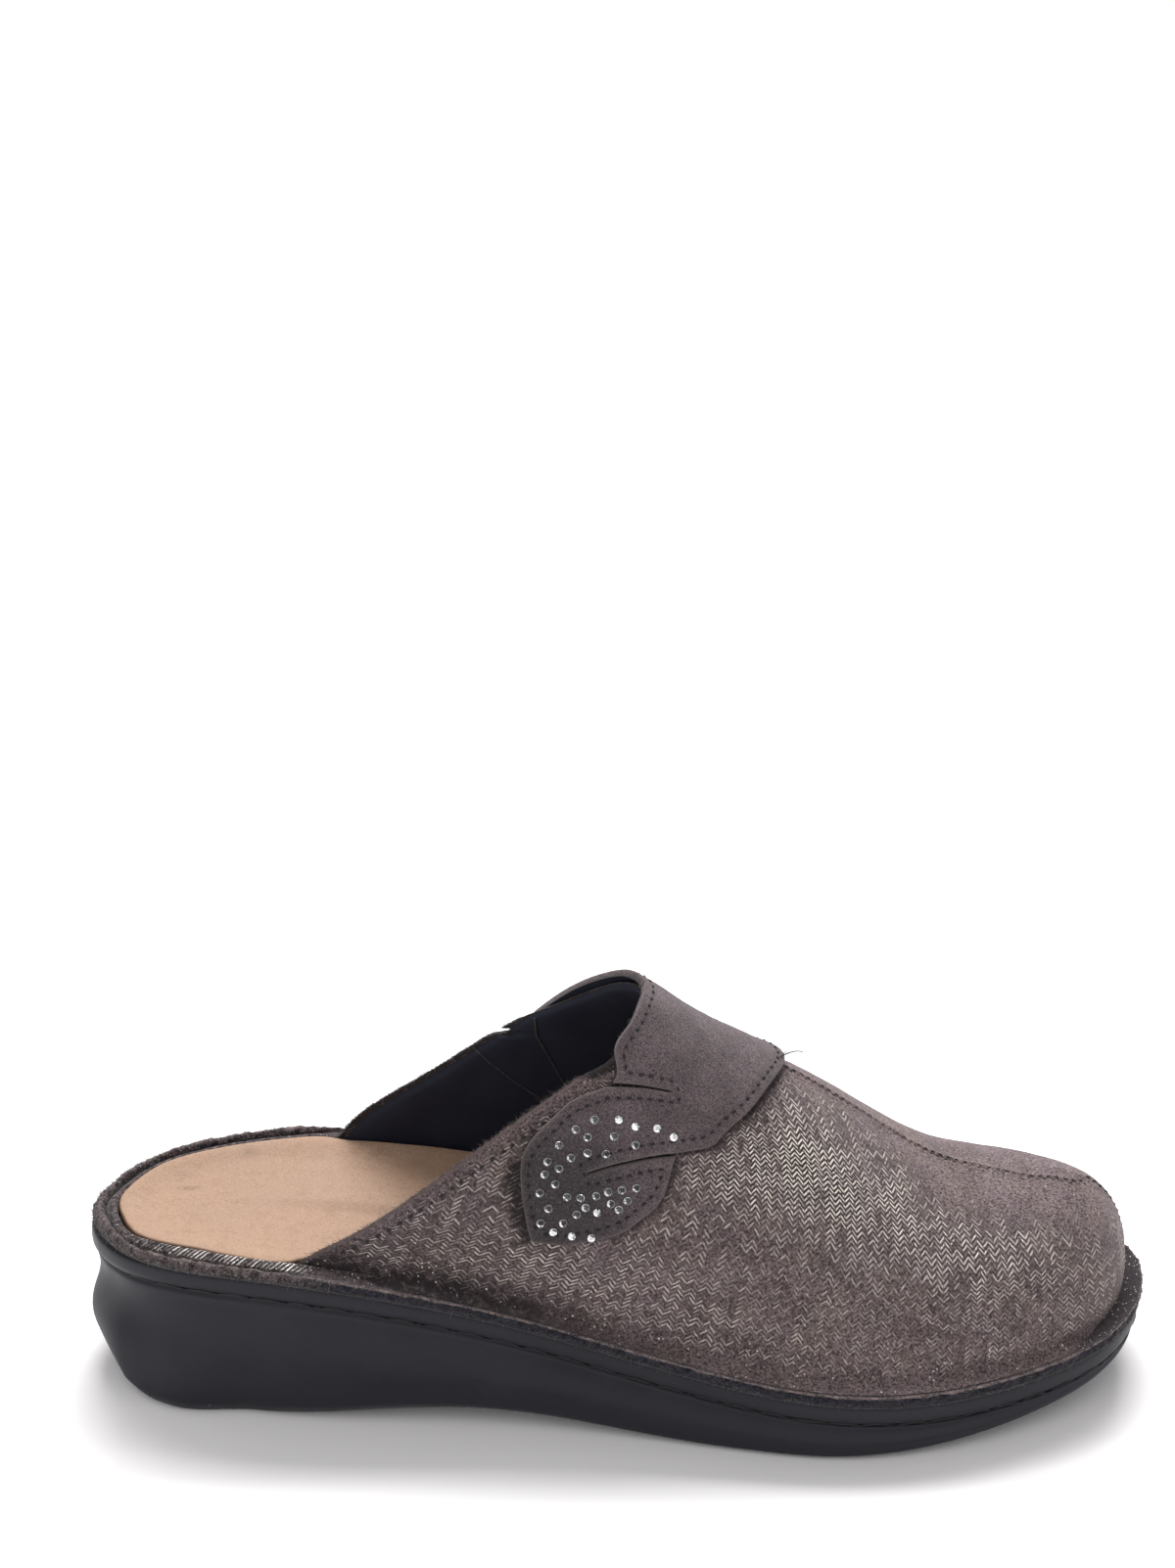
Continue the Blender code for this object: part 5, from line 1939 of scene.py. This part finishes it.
RAND_HAIRS = (
    # name, count, lowest and highest level, length, seed
    ("rand_fuzz_dark", 6400, 0.02, 0.34, 0.00026, 62),
    ("rand_fuzz_light", 8000, 0.05, 0.50, 0.00024, 63),
)
# Light hairs at the front stand below the first level and above the second, on the raw edges
RAND_RAW_LEVELS = (0.14, 0.43)
RAND_HAIR_ROOT = 0.00015
RAND_HAIR_RADIUS = 0.00005
# Core that the hairs point away from: its ends along the shoe, and how far it lies below each root
RAND_CORE = (0.03, 0.23, 0.004)


def rand_fuzz(rings, materials):
    """Hairs on the rim strip: dark along the side wall, lighter along the raw lip and the heel roll."""
    draw = np.random.default_rng(61)
    for (name, count, low, high, size, seed), material in zip(RAND_HAIRS, materials):
        level = draw.uniform(low, high, count)
        ring_at = np.searchsorted(RAND_LEVELS, level).clip(1, len(RAND_LEVELS) - 2)
        place = draw.integers(0, rings.shape[1], count)
        if name == "rand_fuzz_light":
            heel = rings[ring_at, place, 0] <= RAND_CHANGES[1]
            kept = heel | (level < RAND_RAW_LEVELS[0]) | (level > RAND_RAW_LEVELS[1])
            ring_at = ring_at[kept]
            place = place[kept]
            count = len(place)
        ahead = (place + 1) % rings.shape[1]
        slide = draw.uniform(0, 1, count)[:, None]
        roots = rings[ring_at, place] * (1 - slide) + rings[ring_at, ahead] * slide
        along = rings[ring_at, ahead] - rings[ring_at, place]
        face = unit(np.cross(along, rings[ring_at + 1, place] - rings[ring_at - 1, place]))
        core_x = np.clip(roots[:, 0], *RAND_CORE[:2])
        core = np.column_stack([core_x, np.zeros(count), roots[:, 2] - RAND_CORE[2]])
        face *= np.sign((face * (roots - core)).sum(1))[:, None]
        way = unit(face + draw.normal(0, 0.55, (count, 3)))
        lengths = draw.gamma(2.0, size, count).clip(0.0002, 0.0013) + RAND_HAIR_ROOT
        points, faces = fibre_field(roots - way * RAND_HAIR_ROOT, way, lengths, RAND_HAIR_RADIUS, seed)
        add_piece(name, points, faces, [material])


# Hairs of the strap: how many, how far inside its edge they may stand, root depth and radius
STRAP_HAIRS = 2600
STRAP_HAIR_INSET = 0.0003
STRAP_HAIR_ROOT = 0.0001
STRAP_HAIR_RADIUS = 0.00005


def strap_fuzz(line, material):
    """Short hairs on the strap's cut edges."""
    draw = np.random.default_rng(71)
    place = draw.integers(0, len(line), STRAP_HAIRS)
    inset = draw.uniform(0, STRAP_HAIR_INSET, STRAP_HAIRS)
    turned = inward(line)[place]
    flat = line[place] + turned * inset[:, None]
    station = flat[:, 0]
    signed = flat[:, 1] / GIRTH_LENGTH
    height = STRAP_LIFT + tab_rise(station, signed)
    height = height + STRAP_THICKNESS * draw.uniform(0.1, 0.75, STRAP_HAIRS)
    roots = over_crest(station, signed, height)
    outside = line[place] - turned * MM
    tip_height = height + draw.normal(0, 0.0006, STRAP_HAIRS)
    tips = over_crest(outside[:, 0], outside[:, 1] / GIRTH_LENGTH, tip_height)
    way = unit(tips - roots + draw.normal(0, 0.0003, (STRAP_HAIRS, 3)))
    lengths = draw.gamma(2.0, 0.00016, STRAP_HAIRS).clip(0.0001, 0.0008) + STRAP_HAIR_ROOT
    points, faces = fibre_field(roots, way, lengths, STRAP_HAIR_RADIUS, 72)
    add_piece("strap_fuzz", points, faces, [material])


WELT_STITCH_INSET = 0.00085
WELT_STITCH_RISE = 0.0001
WELT_STITCH_WAVE = 0.00016
WELT_STITCH_ARCH = 0.0011
WELT_OUTSIDE = -0.0002


def welt_stitches(material):
    """Long dashes of thread in the groove between welt and outsole."""
    places = station_places(400)
    line, outside = (
        ring(places, lambda x, _: np.full_like(x, inset), on_welt)
        for inset in (WELT_STITCH_INSET, WELT_OUTSIDE))
    line = np.vstack([line, line[:1]])
    outside = np.vstack([outside, outside[:1]])
    line[:, 2] += WELT_STITCH_RISE - WELT_THICKNESS - GAP / 2
    line[:, 2] += WELT_STITCH_WAVE * wander(run_along(line) / MM, 27.0, 81)
    ups = unit((outside - line) * [1, 1, 0])
    parts = stitch_row(line, ups, *WELT_DASH, 82, arch=WELT_STITCH_ARCH)
    add_threads("welt_stitches", parts, material)


THREAD_ROOT = 0.0002
THREAD_TIP = 0.6
STRAP_THREAD_BOW = 0.0012
WELT_THREAD_BOW = 0.0006
WELT_THREAD_RADIUS = 0.00010


def loose_thread(place, normal, reach, bow, radius, count, curl):
    """Cut thread end that leaves a seam and bows off the face."""
    share = np.linspace(0, 1, count)[:, None]
    line = place - normal * THREAD_ROOT + np.array(reach) * share
    line = line + normal * bow * np.sin(np.pi * share * curl)
    return tube(line, radius * np.linspace(1, THREAD_TIP, count))


def loose_threads(strap, welt, material):
    """A few cut thread ends, each rooted in a seam."""
    draw = np.random.default_rng(91)
    parts = []
    for number, place, normal in hits(strap, [pixel for pixel, _, _ in STRAP_THREADS]):
        _, reach, radius = STRAP_THREADS[number]
        parts.append(loose_thread(place, normal, reach, STRAP_THREAD_BOW, radius, 9, 0.8))
    for _, place, normal in hits(welt, WELT_THREAD_PIXELS):
        reach = normal * WELT_THREAD_BOW + draw.normal(0, 0.0014, 3)
        parts.append(loose_thread(place, normal, reach, WELT_THREAD_BOW, WELT_THREAD_RADIUS, 7, 1.0))
    add_threads("loose_threads", parts, material)


GUSSET_SEAM_RADIUS = 0.00032
GUSSET_SEAM_LIFT = 0.00010
GUSSET_SEAM_POINTS = 30


def gusset_seams(lining, material):
    """Two raised seams of the elastic gusset on the inner wall."""
    parts = []
    for corners in GUSSET_SEAM_PIXELS:
        numbers = np.arange(len(corners))
        pixels = at_run(np.linspace(0, numbers[-1], GUSSET_SEAM_POINTS), numbers, np.array(corners, float))
        line = np.array([place + normal * GUSSET_SEAM_LIFT for _, place, normal in hits(lining, pixels)])
        parts.append(tube(line, np.full(len(line), GUSSET_SEAM_RADIUS)))
    add_threads("gusset_seams", parts, material)


GUSSET = (
    # girth on the inner side, rear edge, front edge
    (0.30, 0.1010, 0.1060),
    (0.40, 0.0952, 0.1082),
    (0.50, 0.0910, 0.1098),
    (0.56, 0.0957, 0.1106),
    (0.62, 0.1052, 0.1110),
)
GUSSET_LEAST = 0.0006
GUSSET_EDGE_LIFT = 0.00005
GUSSET_PUFF = 0.00045
GUSSET_DEPTH = 0.0006
GUSSET_RIB_LEAN = 0.35
GUSSET_STITCH_OFF = 0.0014
GUSSET_STITCH_CLEAR = 0.0008


def make_gusset(material, stitch_material):
    """Ribbed elastic panel on the inner side, behind the strap's sewn end, between two rows of dashes."""
    girths = np.linspace(GUSSET[0][0], GUSSET[-1][0], 60)
    rear = np.maximum(from_table(GUSSET, 1, girths), collar_start(2, girths) + GUSSET_LEAST)
    front = np.maximum(from_table(GUSSET, 2, girths), rear + GUSSET_LEAST)
    share = np.linspace(0, 1, 26)
    station = rear[:, None] + (front - rear)[:, None] * share[None, :]
    girth = np.broadcast_to(girths[:, None], station.shape)
    edge_off = np.minimum(share, 1 - share)[None, :] * (front - rear)[:, None]
    lift = GUSSET_EDGE_LIFT + GUSSET_PUFF * smooth_step(edge_off, 0.0, GUSSET_LEAST)
    over = upper_point(1, station, girth, lift)
    under = upper_point(1, station, girth, np.full(station.shape, -GUSSET_DEPTH))
    top = numbered(*station.shape)
    rim = np.concatenate([top[0], top[1:, -1], top[-1, -2::-1], top[-2::-1, 0]])
    faces = grid_faces(top) + grid_faces((top + top.size)[:, ::-1])
    faces += grid_faces(np.stack([rim, rim + top.size]))
    along = (girth * GIRTH_LENGTH * GUSSET_RIB_LEAN + station) / MM
    weave = np.tile(along.reshape(-1, 1), (2, 3))
    points = np.concatenate([over.reshape(-1, 3), under.reshape(-1, 3)])
    add_piece("gusset", points, faces, [material], {"weave": weave})
    parts = []
    for number, line_station in enumerate((rear - GUSSET_STITCH_OFF, front + GUSSET_STITCH_OFF)):
        clear = line_station > from_table(COLLAR, 2, girths) + GUSSET_STITCH_CLEAR
        places, ups = face_line(1, line_station[clear], girths[clear], 0.0)
        parts += stitch_row(places, ups, *GUSSET_DASH, 500 + number)
    add_threads("gusset_stitches", parts, stitch_material)


# Stage

FLOOR_HALF = 12.0
FLOOR_LEVEL = -0.00005
SKY_STRENGTH = 0.52
LIGHT_AIM = (0, 0, 0.03)
LIGHTS = (
    # name, place, size, power
    ("key_light", (0.06, 0.85, 1.15), 1.1, 35.0),
    ("fill_light", (-0.3, -1.1, 1.0), 1.6, 7.0),
)


def make_stage():
    """Pale floor, soft studio light and the photograph's camera."""
    mesh = bpy.data.meshes.new("floor")
    signs = ((-1, -1), (1, -1), (1, 1), (-1, 1))
    corners = [(x * FLOOR_HALF, y * FLOOR_HALF, FLOOR_LEVEL) for x, y in signs]
    mesh.from_pydata(corners, [], [(0, 1, 2, 3)])
    mesh.materials.append(floor_paint_and_glow())
    floor = bpy.data.objects.new("floor", mesh)
    bpy.context.scene.collection.objects.link(floor)

    world = bpy.data.worlds.new("studio")
    bpy.context.scene.world = world
    world.use_nodes = True
    backdrop = world.node_tree.nodes["Background"]
    backdrop.inputs["Color"].default_value = (1.0, 1.0, 1.0, 1)
    backdrop.inputs["Strength"].default_value = SKY_STRENGTH

    for name, place, size, power in LIGHTS:
        light = bpy.data.lights.new(name, "AREA")
        light.shape = "SQUARE"
        light.size = size
        light.energy = power
        lamp = bpy.data.objects.new(name, light)
        lamp.location = place
        lamp.rotation_euler = (Vector(LIGHT_AIM) - Vector(place)).to_track_quat("-Z", "Y").to_euler()
        bpy.context.scene.collection.objects.link(lamp)

    right, up, forward = camera_axes()
    camera = bpy.data.cameras.new("camera")
    camera.sensor_width = SENSOR
    camera.lens = FOCAL_PIXELS / PHOTO_SIZE[1] * SENSOR
    holder = bpy.data.objects.new("camera", camera)
    turn = Matrix((right, up, -forward)).transposed().to_4x4()
    holder.matrix_world = Matrix.Translation(CAMERA_PLACE) @ turn
    bpy.context.scene.collection.objects.link(holder)
    bpy.context.scene.camera = holder
    bpy.context.scene.view_settings.view_transform = "Standard"


def main():
    dark_thread = thread("dark_thread", (0.010, 0.008, 0.009), (0.030, 0.024, 0.025))
    hole_thread = thread("hole_thread", (0.0030, 0.0025, 0.0030), (0.010, 0.008, 0.009))
    grey_thread = thread("grey_thread", (0.010, 0.010, 0.012), (0.052, 0.051, 0.054))
    brown_thread = thread("brown_thread", (0.050, 0.040, 0.036), (0.110, 0.090, 0.080))
    make_outsole(sole_rubber("outsole_rubber", (0.0072, 0.0070, 0.0104), 0.48))
    welt = make_welt(sole_rubber("welt_rubber", (0.0062, 0.0060, 0.0090), 0.46))
    rand_rings = make_rand(rand_suede())
    make_insole(insole_leather())
    outer, inner, normal = make_upper(upper_suede())
    cloth = lining_cloth()
    lining = make_lining(cloth)
    strap, line = make_strap(strap_suede(), cloth)
    strap_stitches(hole_thread)
    # Stone materials: pale silver facets, a painted dark reflection for tops and turned-away facets, and
    # painted glints
    make_stones(strap, [
        stone("stone_facet", (0.50, 0.50, 0.51), (0.80, 0.80, 0.81), 0.22, 0.4),
        stone("stone_table", (0.010, 0.010, 0.011), (0.030, 0.030, 0.032), 0.10, 0.2),
        stone("stone_glint", (0.72, 0.72, 0.73), (0.95, 0.95, 0.95), 0.15, 0.3),
    ])
    centre_seam_stitches(outer, normal, dark_thread)
    collar_stitches(dark_thread)
    collar_fuzz(outer, inner, normal, [
        hair("collar_hair", (0.045, 0.033, 0.032), (0.150, 0.115, 0.108)),
        hair("collar_hair_inner", (0.018, 0.016, 0.018), (0.110, 0.100, 0.100)),
    ])
    rand_fuzz(rand_rings, [
        hair("rand_hair_dark", (0.016, 0.015, 0.019), (0.060, 0.056, 0.060)),
        hair("rand_hair_light", (0.050, 0.040, 0.038), (0.170, 0.140, 0.132)),
    ])
    strap_fuzz(line, hair("strap_hair", (0.045, 0.036, 0.034), (0.120, 0.095, 0.088)))
    welt_stitches(hole_thread)
    loose_threads(strap, welt, brown_thread)
    gusset_seams(lining, grey_thread)
    make_gusset(elastic_cloth(), dark_thread)
    make_stage()


main()
